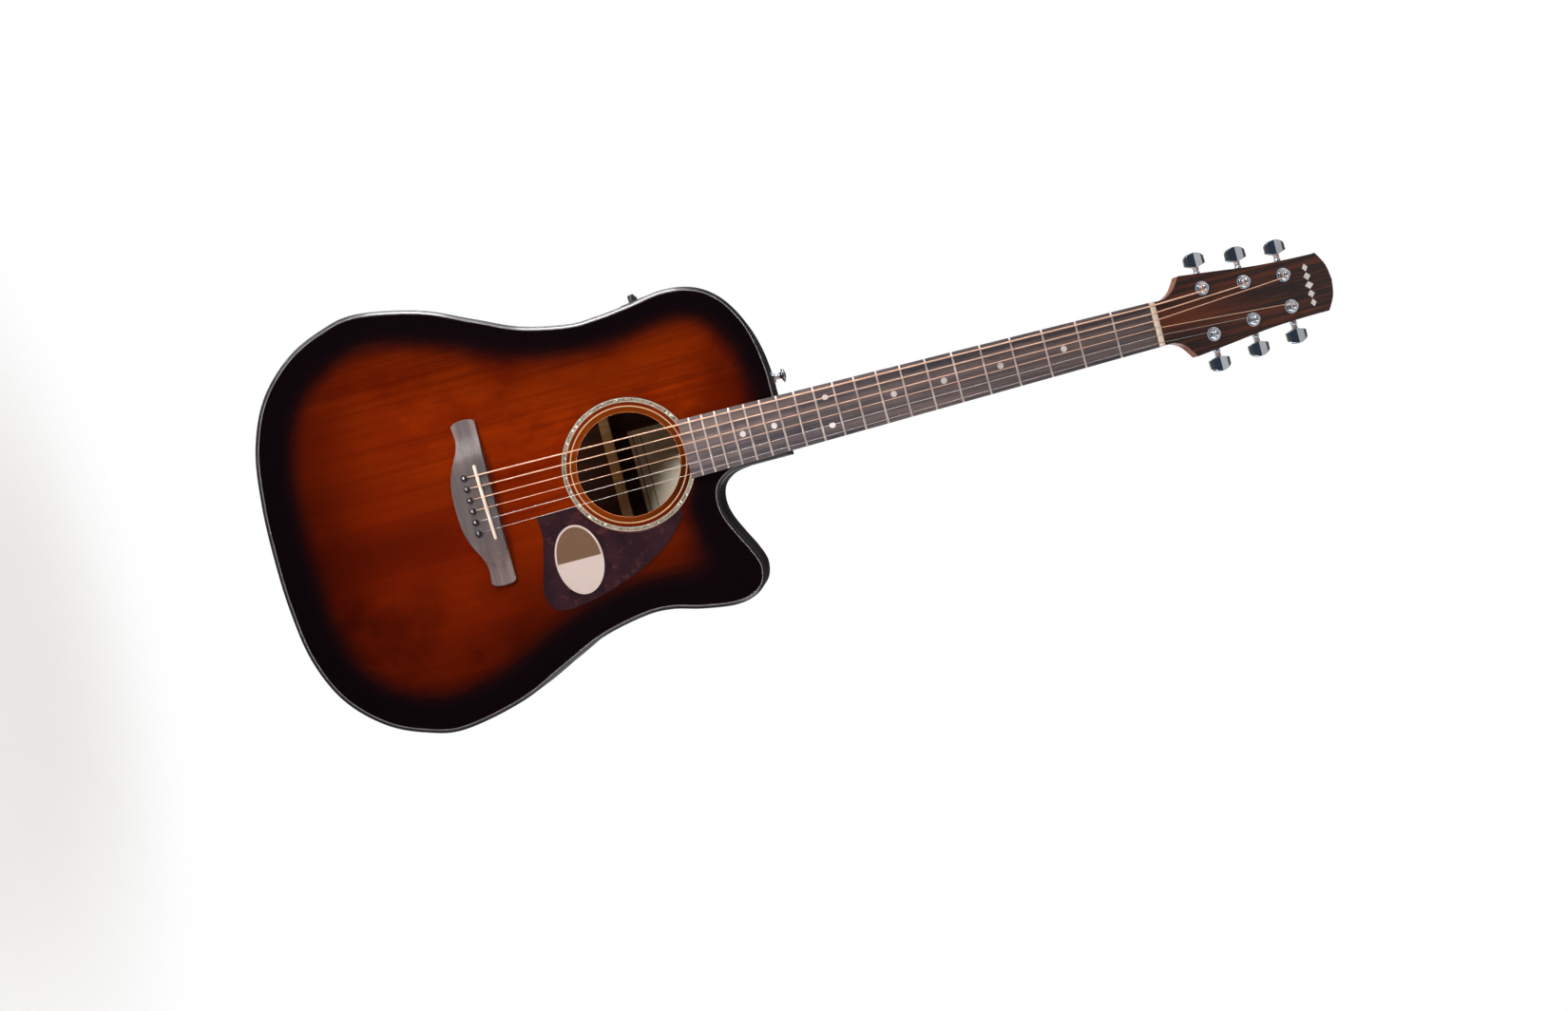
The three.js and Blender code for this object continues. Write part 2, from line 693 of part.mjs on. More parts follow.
function makeHousing(side) {
  const t = TUNER;
  const [front, back] = [-t.caseFront, -t.caseBack];
  const across = (low, high) => (side > 0 ? [low, high] : [-high, -low]);
  const shell = box(across(-7, 12), [front, back], [-7.2, t.wormOffset + 5.4]);
  const room = box(
    across(-5.8, 10.8), [front + t.wall, back - t.wall], [-6, t.wormOffset + 5.4 - t.wall]);
  const sleeve = rod(t.bushRadius, new THREE.Vector3(0, front + 0.5, 0), new THREE.Vector3(0, -t.bushTop, 0));
  const bore = rod(t.postRadius + GAP, new THREE.Vector3(0, front + 3, 0), new THREE.Vector3(0, -9, 0));
  const shaftAt = (x) => new THREE.Vector3(side * x, -WORM_HEIGHT, t.wormOffset);
  const shaftHole = rod(t.shaftRadius + GAP, shaftAt(8), shaftAt(15));
  return cut(shell.add(sleeve), [room, bore, shaftHole]);
}

function gearOutline(radius) {
  const outline = [];
  for (let tooth = 0; tooth < TUNER.gearTeeth; tooth += 1) {
    const angle = (2 * Math.PI * tooth) / TUNER.gearTeeth;
    const step = Math.PI / TUNER.gearTeeth;
    outline.push([radius * Math.cos(angle), radius * Math.sin(angle)]);
    outline.push([(radius - 1) * Math.cos(angle + step), (radius - 1) * Math.sin(angle + step)]);
  }
  return outline;
}

function makePost() {
  const t = TUNER;
  const floor = -t.caseBack - t.wall - GAP;
  const waist = t.postRadius - 0.8;
  const profile = [
    [0, 0], [2.4, 0], [2.4, 1], [t.postRadius, 7.6], [t.postRadius, floor + 4], [waist, floor + 5.4],
    [waist, floor + 7.6], [t.postRadius, floor + 9], [t.postRadius, floor + t.postTop - 0.6],
    [t.postRadius - 0.6, floor + t.postTop], [0, floor + t.postTop],
  ];
  const post = turned(profile, new THREE.Vector3(0, floor, 0), new THREE.Vector3(0, -1, 0), 10);
  const middle = -WORM_HEIGHT;
  return post.add(plate(gearOutline(t.gearRadius), middle - 2, middle + 2));
}

function buttonOutline() {
  const dome = splinePoints([[31.2, 10.5], [34.4, 5.8], [35.9, 0]], 2);
  const half = [[21.6, 2.4], [24, 10.8], ...dome];
  const other = half.slice(0, -1).reverse().map(([x, z]) => [x, -z]);
  return [...half, ...other];
}

function makeButton() {
  const full = buttonOutline();
  const ring = (scale, y) => full.map(([x, z]) => new THREE.Vector3(29 + (x - 29) * scale, y, z * scale));
  return loft([ring(0.72, -3.6), ring(1, -1.6), ring(1, 1.6), ring(0.72, 3.6)]);
}

// A ring round the key's axis at x, its centre moved off the axis by off, towards twist.
function keyRing(x, radius, off = 0, twist = 0) {
  const sides = 8;
  const ring = [];
  for (let i = 0; i < sides; i += 1) {
    const angle = (2 * Math.PI * i) / sides;
    const y = radius * Math.cos(angle) + off * Math.cos(twist);
    const z = radius * Math.sin(angle) + off * Math.sin(twist);
    ring.push(new THREE.Vector3(x, y, z));
  }
  return ring;
}

// The worm is a single-start thread: a round core set off the shaft's axis and twisted along it.
function wormRings() {
  const start = -4;
  const pitch = 2.4;
  const perTurn = 5;
  const turns = 3;
  const off = 0.45;
  const rings = [];
  for (let step = 0; step <= perTurn * turns; step += 1) {
    const twist = (2 * Math.PI * step) / perTurn;
    rings.push(keyRing(start + (pitch * step) / perTurn, TUNER.wormRadius - off, off, twist));
  }
  return rings;
}

function makeKey() {
  const r = TUNER.shaftRadius;
  const shaft = loft([
    keyRing(-5, r), keyRing(-4.2, r), ...wormRings(), keyRing(3.6, r), keyRing(12.6, r),
    keyRing(12.6, 3.2), keyRing(16, 3.2), keyRing(16.8, r + 0.3), keyRing(21, r + 0.3), keyRing(24, 2.8),
  ]);
  return shaft.add(makeButton());
}

// ---------------------------------------------------------------------------------------------
// Assembly

function finish(color, roughness, metalness = 0) {
  return new THREE.MeshStandardMaterial({ color, roughness, metalness });
}

const FINISH = {
  sunburst: () => finish(0x7d2a05, 0.15),
  darkWood: () => finish(0x2a1009, 0.2),
  spruce: () => finish(0xc9a774, 0.7),
  blackPlastic: () => finish(0x0c0b0d, 0.25),
  shell: () => finish(0x8f9a92, 0.25),
  tortoise: () => finish(0x241013, 0.2),
  rosewood: () => finish(0x4a3a33, 0.5),
  mahogany: () => finish(0x7a4431, 0.35),
  bone: () => finish(0xe9e0c8, 0.4),
  chrome: () => finish(0xd5d6d8, 0.12, 1),
  steel: () => finish(0x8a8c90, 0.35, 1),
  bronze: () => finish(0xb47a45, 0.3, 1),
  brass: () => finish(0xb89a55, 0.35, 1),
};

const group = new THREE.Group();

function addPart(name, solid, material, place = new THREE.Matrix4()) {
  const mesh = new THREE.Mesh(toGeometry(solid), material);
  mesh.name = name;
  mesh.applyMatrix4(place);
  group.add(mesh);
}

function addBody() {
  addPart('top', makeTop(), FINISH.sunburst());
  addPart('back', makeBack(), FINISH.darkWood());
  addPart('side_bass', makeSide(-1), FINISH.darkWood());
  addPart('side_treble', makeSide(1), FINISH.darkWood());
  addPart('top_binding', band(0, RIB_THICKNESS, FACE, FACE + BINDING_HEIGHT), FINISH.blackPlastic());
  addPart('back_binding', archedBand(0, RIB_THICKNESS, -BINDING_HEIGHT, 0), FINISH.blackPlastic());
  const liningBack = UNDER_TOP + LINING_HEIGHT;
  addPart('top_lining', band(LINING_OUTER, LINING_INNER, UNDER_TOP, liningBack), FINISH.spruce());
  const backLining = archedBand(
    LINING_OUTER, LINING_INNER, IN_FRONT_OF_BACK - LINING_HEIGHT, IN_FRONT_OF_BACK);
  addPart('back_lining', backLining, FINISH.spruce());
  addPart('neck_block', makeNeckBlock(), FINISH.mahogany());
  addPart('end_block', makeEndBlock(), FINISH.mahogany());
  addPart('x_brace', makeXBrace(), FINISH.spruce());
  addPart('transverse_brace', topBar([-128, -454], [130, -454], 9, 16), FINISH.spruce());
  addPart('bridge_plate', makeBridgePlate(), FINISH.mahogany());
  addPart('back_brace_upper', makeBackBrace(122, -536, 10), FINISH.spruce());
  addPart('back_brace_lower', makeBackBrace(176, -720, 12), FINISH.spruce());
  addPart('rosette', makeRosette(), FINISH.shell());
  addPart('pickguard', makePickguard(), FINISH.tortoise());
}

function addFittings() {
  addPart('strap_button', makeStrapButton(), FINISH.chrome());
  addPart('endpin_jack', makeEndpinJack(), FINISH.chrome());
  addPart('preamp_panel', makePreampPanel(), FINISH.blackPlastic());
  addPart('volume_knob', makeKnob(KNOB_PLACES[0]), FINISH.blackPlastic());
  addPart('tone_knob', makeKnob(KNOB_PLACES[1]), FINISH.blackPlastic());
}

function addNeck() {
  addPart('neck', makeNeck(), FINISH.mahogany());
  addPart('headplate', makeHeadplate(), FINISH.rosewood());
  addPart('fingerboard', makeFingerboard(), FINISH.rosewood());
  addPart('nut', makeNut(), FINISH.bone());
  addPart('heel_cap', makeHeelCap(), FINISH.rosewood());
  addPart('truss_rod', makeTrussRod(), FINISH.steel());
}

function addBridgeAndStrings() {
  addPart('bridge', makeBridge(), FINISH.rosewood());
  addPart('saddle', makeSaddle(), FINISH.bone());
  STRING_RADII.forEach((_, index) => {
    const wound = index < 4;
    addPart(`bridge_pin_${index + 1}`, makePin(index), FINISH.blackPlastic());
    addPart(`string_${index + 1}`, makeString(index), wound ? FINISH.bronze() : FINISH.steel());
  });
}

function addTuners() {
  const post = makePost();
  const key = makeKey();
  const housings = { [-1]: makeHousing(-1), 1: makeHousing(1) };
  tunerPlaces().forEach(({ side, across, along }, index) => {
    const number = index + 1;
    const frame = headFrame(across, along);
    const keyFrame = headFrame(across, along);
    keyFrame.multiply(new THREE.Matrix4().makeTranslation(0, -WORM_HEIGHT, TUNER.wormOffset));
    if (side < 0) keyFrame.multiply(new THREE.Matrix4().makeRotationZ(Math.PI));
    addPart(`tuner_housing_${number}`, housings[side], FINISH.chrome(), frame);
    addPart(`tuner_post_${number}`, post, FINISH.chrome(), frame);
    addPart(`tuner_key_${number}`, key, FINISH.chrome(), keyFrame);
  });
}

addBody();
addFittings();
addNeck();
addBridgeAndStrings();
addTuners();

export default group;
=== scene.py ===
"""Looks of a cutaway acoustic guitar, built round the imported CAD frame. Helpers take millimetres."""

import json
import math

import bmesh
import bpy
from mathutils import Matrix, Vector
from mathutils.geometry import delaunay_2d_cdt


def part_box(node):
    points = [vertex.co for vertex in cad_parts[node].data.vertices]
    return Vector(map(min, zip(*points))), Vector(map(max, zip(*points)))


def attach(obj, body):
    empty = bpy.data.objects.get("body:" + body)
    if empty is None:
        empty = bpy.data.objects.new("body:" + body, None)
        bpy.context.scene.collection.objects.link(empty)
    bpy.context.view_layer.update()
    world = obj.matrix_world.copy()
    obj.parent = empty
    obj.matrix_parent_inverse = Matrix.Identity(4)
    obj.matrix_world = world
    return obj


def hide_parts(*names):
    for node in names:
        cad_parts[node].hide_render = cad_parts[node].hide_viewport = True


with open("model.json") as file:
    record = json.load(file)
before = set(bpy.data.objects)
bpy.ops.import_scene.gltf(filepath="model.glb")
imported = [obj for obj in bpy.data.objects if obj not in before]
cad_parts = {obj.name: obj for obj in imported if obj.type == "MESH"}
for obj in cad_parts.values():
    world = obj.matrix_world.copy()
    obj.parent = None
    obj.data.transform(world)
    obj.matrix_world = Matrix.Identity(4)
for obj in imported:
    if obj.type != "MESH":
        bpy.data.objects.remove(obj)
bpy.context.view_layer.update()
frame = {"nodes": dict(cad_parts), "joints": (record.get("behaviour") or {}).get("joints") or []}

MM = 0.001
ROOT = "root"

# ---- Sizes in millimetres, from the frame where it has them


def span(node):
    """Lowest and highest corner of a CAD node, in millimetres."""
    low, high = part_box(node)
    return low / MM, high / MM


def middle_of(node):
    low, high = span(node)
    return (low + high) / 2


# Body
FACE = span("top")[0].y
TOP_THICKNESS = span("top")[1].y - FACE
NECK_JOINT = span("top_binding")[1].z
TAIL = span("top_binding")[0].z
BACK_THICKNESS = 2.8
BINDING_WIDTH = 2.8
BINDING_HEIGHT = span("top_binding")[1].y - FACE + 0.3
RIB_FRONT = span("side_treble")[0].y
PURFLING_WIDTH = 0.9
HOLE_RADIUS = 50
HOLE_Z = middle_of("rosette").z
ROSETTE_OUTER = span("rosette")[1].x
STREAK_X = 24
GUARD_FACE = FACE - 1.0
BADGE_X, BADGE_Z = 75.5, -581
LABEL_X = (-34, 56)
LABEL_Z = (-516.5, -461)

# Bridge
BRIDGE_TOP = span("bridge")[0].y
BRIDGE_HALF = span("bridge")[1].x
BRIDGE_LOW = span("bridge")[0].z
BRIDGE_HIGH = span("bridge")[1].z
PIN_Z = -666.5
SADDLE_Z = -653
SADDLE_CREST = -5.3
SADDLE_SLOPE = 0.034

# Neck and head
NECK_FRONT = 6.3
FRET_COUNT = 20
BOARD_END = span("fingerboard")[0].z
NUT_HALF = span("nut")[1].x
NUT_LENGTH = span("nut")[1].z
SCALE = 651
CROWN_RADIUS = 400
HEAD_TILT = math.radians(14)
HEAD_FACE_AT_NUT = 0.6
HEAD_LENGTH = 187.3
HEADPLATE_THICKNESS = 2
HEAD_THICKNESS = 13

# Strings: distance between neighbours at the nut, the saddle and the pins
STRING_RADII = (0.67, 0.53, 0.41, 0.3, 0.2, 0.15)
NUT_SPACING = 7.1
SADDLE_SPACING = 10.7
PIN_SPACING = 10.8

# Tuners: heights are out of the head's face
POST_TOP = 10.5
POST_WAIST = 2.2
STRING_LEVEL = 6.6
WORM_OFFSET = 8
WORM_HEIGHT = -20.9
CASE_FRONT = -15.4
CASE_BACK = -26.4

OUT_OF_FACE = (0, -1, 0)

# ---- Camera: in front of the playing face, turned so that the neck runs to the right and up


def add_object(name, data):
    made = bpy.data.objects.new(name, data)
    bpy.context.scene.collection.objects.link(made)
    return made


def make_camera():
    data = bpy.data.cameras.new("camera")
    data.lens = 48.6
    data.sensor_width = 36
    camera = add_object("camera", data)
    bpy.context.scene.camera = camera
    roll = math.radians(14.77)
    right = Vector((math.sin(roll), 0, math.cos(roll)))
    up = Vector((-math.cos(roll), 0, math.sin(roll)))
    aim = Matrix.Rotation(math.radians(-0.87), 3, "Z") @ Matrix.Rotation(math.radians(-2), 3, "X")
    axes = Matrix((aim @ right, aim @ up, aim @ Vector((0, -1, 0)))).transposed()
    camera.matrix_world = Matrix.Translation((0.0449, -2.0, -0.3096)) @ axes.to_4x4()


make_camera()

# ---- Materials


class Nodes:
    """Adds nodes to a tree by short calls. A value is a number, a colour or another node's output."""

    def __init__(self, tree):
        self.tree = tree

    def node(self, kind, links=(), **settings):
        made = self.tree.nodes.new("ShaderNode" + kind)
        for key, value in settings.items():
            setattr(made, key, value)
        for socket, source in dict(links).items():
            if hasattr(source, "is_output"):
                self.tree.links.new(source, made.inputs[socket])
            else:
                made.inputs[socket].default_value = source
        return made

    def math(self, operation, *values):
        return self.node("Math", dict(enumerate(values)), operation=operation).outputs[0]

    def times(self, first, second):
        return self.math("MULTIPLY", first, second)

    def ramp(self, value, low, high, start=0.0, end=1.0):
        links = {"Value": value, "From Min": low, "From Max": high, "To Min": start, "To Max": end}
        return self.node("MapRange", links, interpolation_type="SMOOTHSTEP").outputs[0]

    def mix(self, factor, first, second):
        colors = [source if hasattr(source, "is_output") else rgba(source) for source in (first, second)]
        return self.node("Mix", {0: factor, 6: colors[0], 7: colors[1]}, data_type="RGBA").outputs[2]

    def blend(self, value, low, high, first, second):
        """The first colour where value is at low or less, and the second where it is at high or more."""
        return self.mix(self.ramp(value, low, high), first, second)


class Surface(Nodes):
    """A Principled material, with textures placed in millimetres."""

    def __init__(self, name, **settings):
        self.material = bpy.data.materials.new(name)
        self.material.use_nodes = True
        super().__init__(self.material.node_tree)
        self.shader = self.tree.nodes["Principled BSDF"]
        for socket, value in settings.items():
            self.shader.inputs[socket.replace("_", " ")].default_value = value

    def place(self, scale=(1, 1, 1), turn=(0, 0, 0)):
        """Object coordinates in millimetres times scale, in axes turned by turn."""
        coordinates = self.node("TexCoord").outputs["Object"]
        links = {"Vector": coordinates, "Scale": tuple(MM / part for part in scale), "Rotation": turn}
        return self.node("Mapping", links, vector_type="TEXTURE").outputs[0]

    def along(self, axis):
        return self.node("SeparateXYZ", {"Vector": self.place()}).outputs[axis]

    def noise(self, scale, detail=4, roughness=0.55, turn=(0, 0, 0)):
        links = {"Vector": self.place(scale, turn), "Scale": 1, "Detail": detail, "Roughness": roughness}
        return self.node("TexNoise", links).outputs["Fac"]

    def set(self, socket, source):
        self.tree.links.new(source, self.shader.inputs[socket])

    def finish(self, color, height, strength, distance=0.2):
        """Sets the colour and the bump, which stands up to distance high, and returns the material."""
        self.set("Base Color", color)
        links = {"Height": height, "Strength": strength, "Distance": distance * MM}
        self.set("Normal", self.node("Bump", links).outputs["Normal"])
        return self.material


def shaded(color, share):
    return tuple(part * share for part in color)


def rgba(color):
    """A linear colour with alpha, from sRGB parts of 255."""
    parts = [part / 255 for part in color]
    linear = [part / 12.92 if part <= 0.04045 else ((part + 0.055) / 1.055) ** 2.4 for part in parts]
    return (*linear, 1)


def wood_surface(name, light, dark, grain, turn=(0, 0, 0), bump=0.15, painted_shading=None, **settings):
    """Wood with its grain along z before the turn. grain is lines per millimetre.

    An axis and four numbers, if given, paint light and shade into the wood: it goes from shade c at distance
    a from the origin along that axis to shade d at b.
    """
    made = Surface(name, **settings)
    streaks = made.noise((0.12 * grain, 0.12 * grain, 0.004 * grain), 5, 0.6, turn)
    lines = made.noise((1.1 * grain, 1.1 * grain, 0.012 * grain), 3, 0.6, turn)
    pores = made.noise((3.2 * grain, 3.2 * grain, 0.09 * grain), 2, 0.5, turn)
    figure = made.math("ADD", made.times(streaks, 0.65), made.times(lines, 0.35))
    color = made.blend(figure, 0.38, 0.62, dark, light)
    shade = made.ramp(pores, 0.3, 0.42, 0.55, 1)
    # Painted light and shade, by distance from the origin along one axis.
    if painted_shading:
        distance = made.math("ABSOLUTE", made.along(painted_shading[0]))
        shade = made.times(shade, made.ramp(distance, *painted_shading[1:]))
    return made.finish(
        made.mix(shade, shaded(dark, 0.55), color),
        made.math("ADD", pores, made.times(lines, 0.5)), bump)


def head_surface():
    """Dark rosewood under gloss: fine red-brown streaks, and an orange one up the middle from the nut."""
    made = Surface(
        "head_rosewood", Roughness=0.4, Specular_IOR_Level=0.1, Coat_Weight=1.0, Coat_Roughness=0.04)
    turn = (-HEAD_TILT, 0, 0)
    streaks = made.noise((0.13, 0.13, 0.005), 5, 0.62, turn)
    lines = made.noise((0.8, 0.8, 0.012), 3, 0.6, turn)
    color = made.blend(streaks, 0.45, 0.72, (27, 14, 12), (76, 33, 18))
    color = made.blend(lines, 0.52, 0.75, color, (90, 39, 16))
    off = made.math("ABSOLUTE", made.math("SUBTRACT", made.along("X"), -2))
    wander = made.times(made.math("SUBTRACT", streaks, 0.5), 26)
    middle = made.ramp(made.math("ADD", off, wander), 4, 15, 1, 0)
    fading = made.ramp(made.along("Z"), 20, 125, 0.5, 0)
    return made.finish(made.mix(made.times(middle, fading), color, (108, 46, 14)), lines, 0.03)


def sunburst_surface():
    """Spruce under a sunburst: amber brown in the middle, black towards the rim, under a clear coat.

    A darker streak of wood runs from below the bridge towards the tail.
    """
    made = Surface(
        "sunburst_lacquer", Roughness=0.5, Specular_IOR_Level=0.0, Coat_Weight=1.0, Coat_Roughness=0.03,
        Coat_IOR=1.25)
    across, along = made.along("X"), made.along("Z")
    # Painted shade: the amber is painted darker towards the treble side and the tail, away from the light.
    painted_shade_slant = made.math("ADD", made.times(across, 0.8), made.times(along, -0.6))
    amber = made.blend(painted_shade_slant, 220, 560, (125, 38, 1), (63, 11, 1))
    mottle = made.noise((0.016, 0.016, 0.012), 6, 0.62)
    stained = made.blend(mottle, 0.36, 0.64, (94, 22, 1), amber)
    from_streak = made.math("ABSOLUTE", made.math("SUBTRACT", across, STREAK_X))
    near_tail = made.ramp(along, BRIDGE_LOW - 25, BRIDGE_LOW + 30, 0.55, 0)
    streak = made.times(made.ramp(from_streak, 4, 40, 1, 0), near_tail)
    stained = made.mix(streak, stained, (44, 4, 1))
    grain = made.noise((0.8, 0.3, 0.005), 3, 0.65)
    silk = made.noise((0.14, 0.1, 0.004), 4, 0.6)
    figure = made.math("ADD", made.times(grain, 0.4), made.times(silk, 0.6))
    grained = made.mix(made.ramp(figure, 0.36, 0.58, 0.45, 1), (72, 12, 1), stained)
    near_hole = made.node("VectorMath", {0: made.place(), 1: (0, 0, HOLE_Z)}, operation="DISTANCE")
    bare = made.ramp(near_hole.outputs["Value"], HOLE_RADIUS, HOLE_RADIUS + 11, 1, 0)
    lighter = made.mix(bare, grained, (98, 42, 8))
    reach = made.node("Attribute", attribute_name="reach").outputs["Fac"]
    glowing = made.mix(made.ramp(reach, 36, 130, 0.44, 0.95), (0, 0, 0), lighter)
    wander = made.math("MULTIPLY_ADD", mottle, 0.24, 0.88)
    fade = made.math("POWER", made.times(made.ramp(reach, 14, 56), wander), 1.4)
    return made.finish(made.blend(fade, 0, 1, (7, 3, 5), glowing), grain, 0.03)


def body_lacquer():
    """Near-black brown lacquer over mahogany, with the wood just showing through."""
    made = Surface(
        "body_lacquer", Roughness=0.5, Specular_IOR_Level=0.1, Coat_Weight=1.0, Coat_Roughness=0.14)
    streaks = made.noise((0.1, 0.1, 0.004), 5, 0.6)
    lines = made.noise((0.9, 0.9, 0.02), 3, 0.6)
    figure = made.math("ADD", made.times(streaks, 0.6), made.times(lines, 0.4))
    return made.finish(made.blend(figure, 0.38, 0.64, (17, 8, 7), (47, 19, 12)), lines, 0.04)


def plastic_surface(name, color, roughness, speck=0.12, coat=0.0):
    """Moulded or polished plastic with faint uneven colour and fine scratches."""
    made = Surface(name, Roughness=roughness, Coat_Weight=coat, Coat_Roughness=0.05)
    cloud = made.noise((0.09, 0.09, 0.09), 3)
    scratch = made.noise((2.5, 2.5, 0.15), 2, 0.6, (0.3, 0.4, 0))
    return made.finish(made.blend(cloud, 0.3, 0.7, shaded(color, 1 - speck), color), scratch, 0.05, 0.1)


def metal_surface(name, color, roughness, bump=0.04, tarnish=0.1):
    """Plated or drawn metal with soft uneven polish."""
    made = Surface(name, Metallic=1.0)
    cloud = made.noise((0.2, 0.2, 0.2), 4)
    fine = made.noise((1.2, 1.2, 1.2), 3, 0.6)
    made.set("Roughness", made.ramp(fine, 0.3, 0.75, roughness * 0.7, roughness * 1.4))
    return made.finish(made.blend(cloud, 0.3, 0.7, shaded(color, 1 - tarnish), color), fine, bump, 0.1)


def wound_surface():
    """Round wire wound over a string: fine ridges along z, with painted shade in the grooves between them."""
    made = Surface("wound_string", Metallic=0.9, Roughness=0.48)
    rings = made.node("TexWave", {"Vector": made.place(), "Scale": 1.1}, bands_direction="Z")
    # Painted shade: the colour is darker in the grooves between the windings.
    return made.finish(
        made.mix(rings.outputs["Fac"], (206, 158, 130), (250, 214, 188)),
        rings.outputs["Fac"], 0.6, 0.1)


def tortoise_surface():
    """Dark tortoise plastic: plum black with clouded red-brown flecks."""
    made = Surface("tortoise", Roughness=0.16, Specular_IOR_Level=0.2, Coat_Weight=0.6, Coat_Roughness=0.04)
    cloud = made.noise((0.05, 0.05, 0.07), 6, 0.65)
    fleck = made.noise((0.12, 0.12, 0.09), 5, 0.7)
    base = made.blend(cloud, 0.35, 0.65, (26, 13, 19), (41, 21, 26))
    return made.finish(made.blend(fleck, 0.54, 0.78, base, (68, 36, 28)), cloud, 0.02)


def abalone_surface():
    """Small shell chips, grey green and dark, with a few painted white or pink: painted highlights for the
    shell's glints.
    """
    made = Surface("abalone", Roughness=0.22, Coat_Weight=1.0, Coat_Roughness=0.03)
    chips = made.node("TexVoronoi", {"Vector": made.place((0.5, 0.5, 0.5)), "Scale": 1, "Randomness": 1})
    shade = made.node("SeparateColor", {"Color": chips.outputs["Color"]})
    ripple = made.noise((0.9, 0.9, 0.9), 4, 0.7)
    body = made.mix(shade.outputs[0], (70, 60, 50), (140, 122, 102))
    pearl = made.blend(ripple, 0.5, 0.8, body, (168, 148, 132))
    # Painted highlight: a few chips painted near white as glints.
    glint_highlight = made.blend(shade.outputs[1], 0.86, 0.93, pearl, (206, 206, 184))
    made.set("Base Color", made.blend(shade.outputs[2], 0.7, 0.95, glint_highlight, (104, 110, 88)))
    return made.material


def paper_surface(name, color):
    """Uncoated paper with faint fibres."""
    made = Surface(name, Roughness=0.85)
    fibres = made.noise((1.5, 1.5, 1.5), 5, 0.7)
    return made.finish(made.blend(fibres, 0.3, 0.7, shaded(color, 0.93), color), fibres, 0.1, 0.05)


SUNBURST = sunburst_surface()
LACQUER = body_lacquer()
BLACK_PLASTIC = plastic_surface("black_plastic", (17, 13, 16), 0.42)
PLUM_PLASTIC = plastic_surface("plum_plastic", (24, 13, 22), 0.14)
BINDING = plastic_surface("black_binding", (10, 8, 11), 0.32, coat=0.25)
PURFLING = plastic_surface("purfling_line", (106, 95, 96), 0.45)
TAN_LINE = plastic_surface("tan_line", (190, 140, 96), 0.45)
GREY_LINE = plastic_surface("grey_line", (160, 148, 138), 0.4)
IVORY = plastic_surface("ivory_line", (196, 184, 172), 0.35)
BONE = plastic_surface("bone", (206, 186, 170), 0.35, 0.06, coat=0.3)
TORTOISE = tortoise_surface()
ABALONE = abalone_surface()
# Partly painted reflection: the chrome's colour has a slight blue tint for the blue it reflects on the keys.
CHROME = metal_surface("chrome", (214, 223, 233), 0.06, bump=0.015, tarnish=0.04)
NICKEL = metal_surface("fret_wire", (222, 206, 198), 0.42)
STEEL = metal_surface("steel", (150, 152, 156), 0.35)
PLAIN_WIRE = metal_surface("plain_wire", (214, 202, 194), 0.35)
WOUND_WIRE = wound_surface()
BARE_SPRUCE = wood_surface("bare_spruce", (214, 178, 128), (176, 136, 88), 0.9, Roughness=0.75)
HOLE_SPRUCE = wood_surface("hole_edge_spruce", (204, 112, 48), (168, 82, 30), 0.9, Roughness=0.6)
BARE_MAHOGANY = wood_surface("bare_mahogany", (134, 78, 52), (98, 52, 34), 0.8, Roughness=0.75)
# Painted shade: a darker copy of the bare mahogany, for the shade inside the body on the back's inner face.
SHADED_INNER_BACK = wood_surface("shaded_inner_back", (74, 36, 26), (46, 21, 16), 0.8, Roughness=0.75)
NECK_WOOD = wood_surface(
    "neck_mahogany", (170, 118, 102), (134, 86, 72), 0.8, bump=0.08, Roughness=0.35, Coat_Weight=0.5,
    Coat_Roughness=0.2)
HEAD_WOOD = head_surface()
# Painted light: the fretboard is painted lighter towards the body end and darker towards the nut.
BOARD_WOOD = wood_surface(
    "board_rosewood", (104, 86, 82), (45, 40, 48), 0.9, painted_shading=("Z", 320, 480, 0.72, 1), Roughness=0.5)
# Painted reflection: the bridge's middle is painted darker than its wings, for the dark surroundings it
# reflects.
BRIDGE_WOOD = wood_surface(
    "bridge_rosewood", (103, 85, 80), (66, 53, 53), 0.8, (0, math.pi / 2, 0), painted_shading=("X", 29, 67, 0.34, 1),
    Roughness=0.5)
PEARL = plastic_surface("pearl_dot", (212, 204, 202), 0.2, 0.15, coat=0.6)
PAPER = paper_surface("label_paper", (220, 208, 186))
PAPER_CREAM = paper_surface("badge_cream", (164, 147, 140))
PAPER_BROWN = paper_surface("badge_brown", (82, 54, 32))
# Painted shade: near black for the shade down in slots and bores.
RECESS_SHADE = plastic_surface("painted_recess_shade", (6, 6, 7), 0.6)

# ---- Mesh helpers


def make_piece(name, vertices, faces, material, slot, body=ROOT, replaces=(), sharp=32, bevel=None):
    """A mesh piece from points in millimetres, smooth but for edges sharper than sharp degrees."""
    mesh = bpy.data.meshes.new(name)
    mesh.from_pydata([Vector(v) * MM for v in vertices], [], faces)
    mesh.validate()
    mesh.update()
    made = add_object(name, mesh)
    mesh.materials.append(material)
    turn_outwards(mesh)
    mesh.shade_smooth()
    mesh.set_sharp_from_angle(angle=math.radians(sharp))
    if bevel:
        width, segments = bevel
        modifier = made.modifiers.new("edge", "BEVEL")
        modifier.width = width * MM
        modifier.segments = segments
        modifier.limit_method = "ANGLE"
        modifier.angle_limit = math.radians(sharp)
        modifier.harden_normals = True
    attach(made, body)
    if replaces:
        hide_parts(*replaces)
    return made


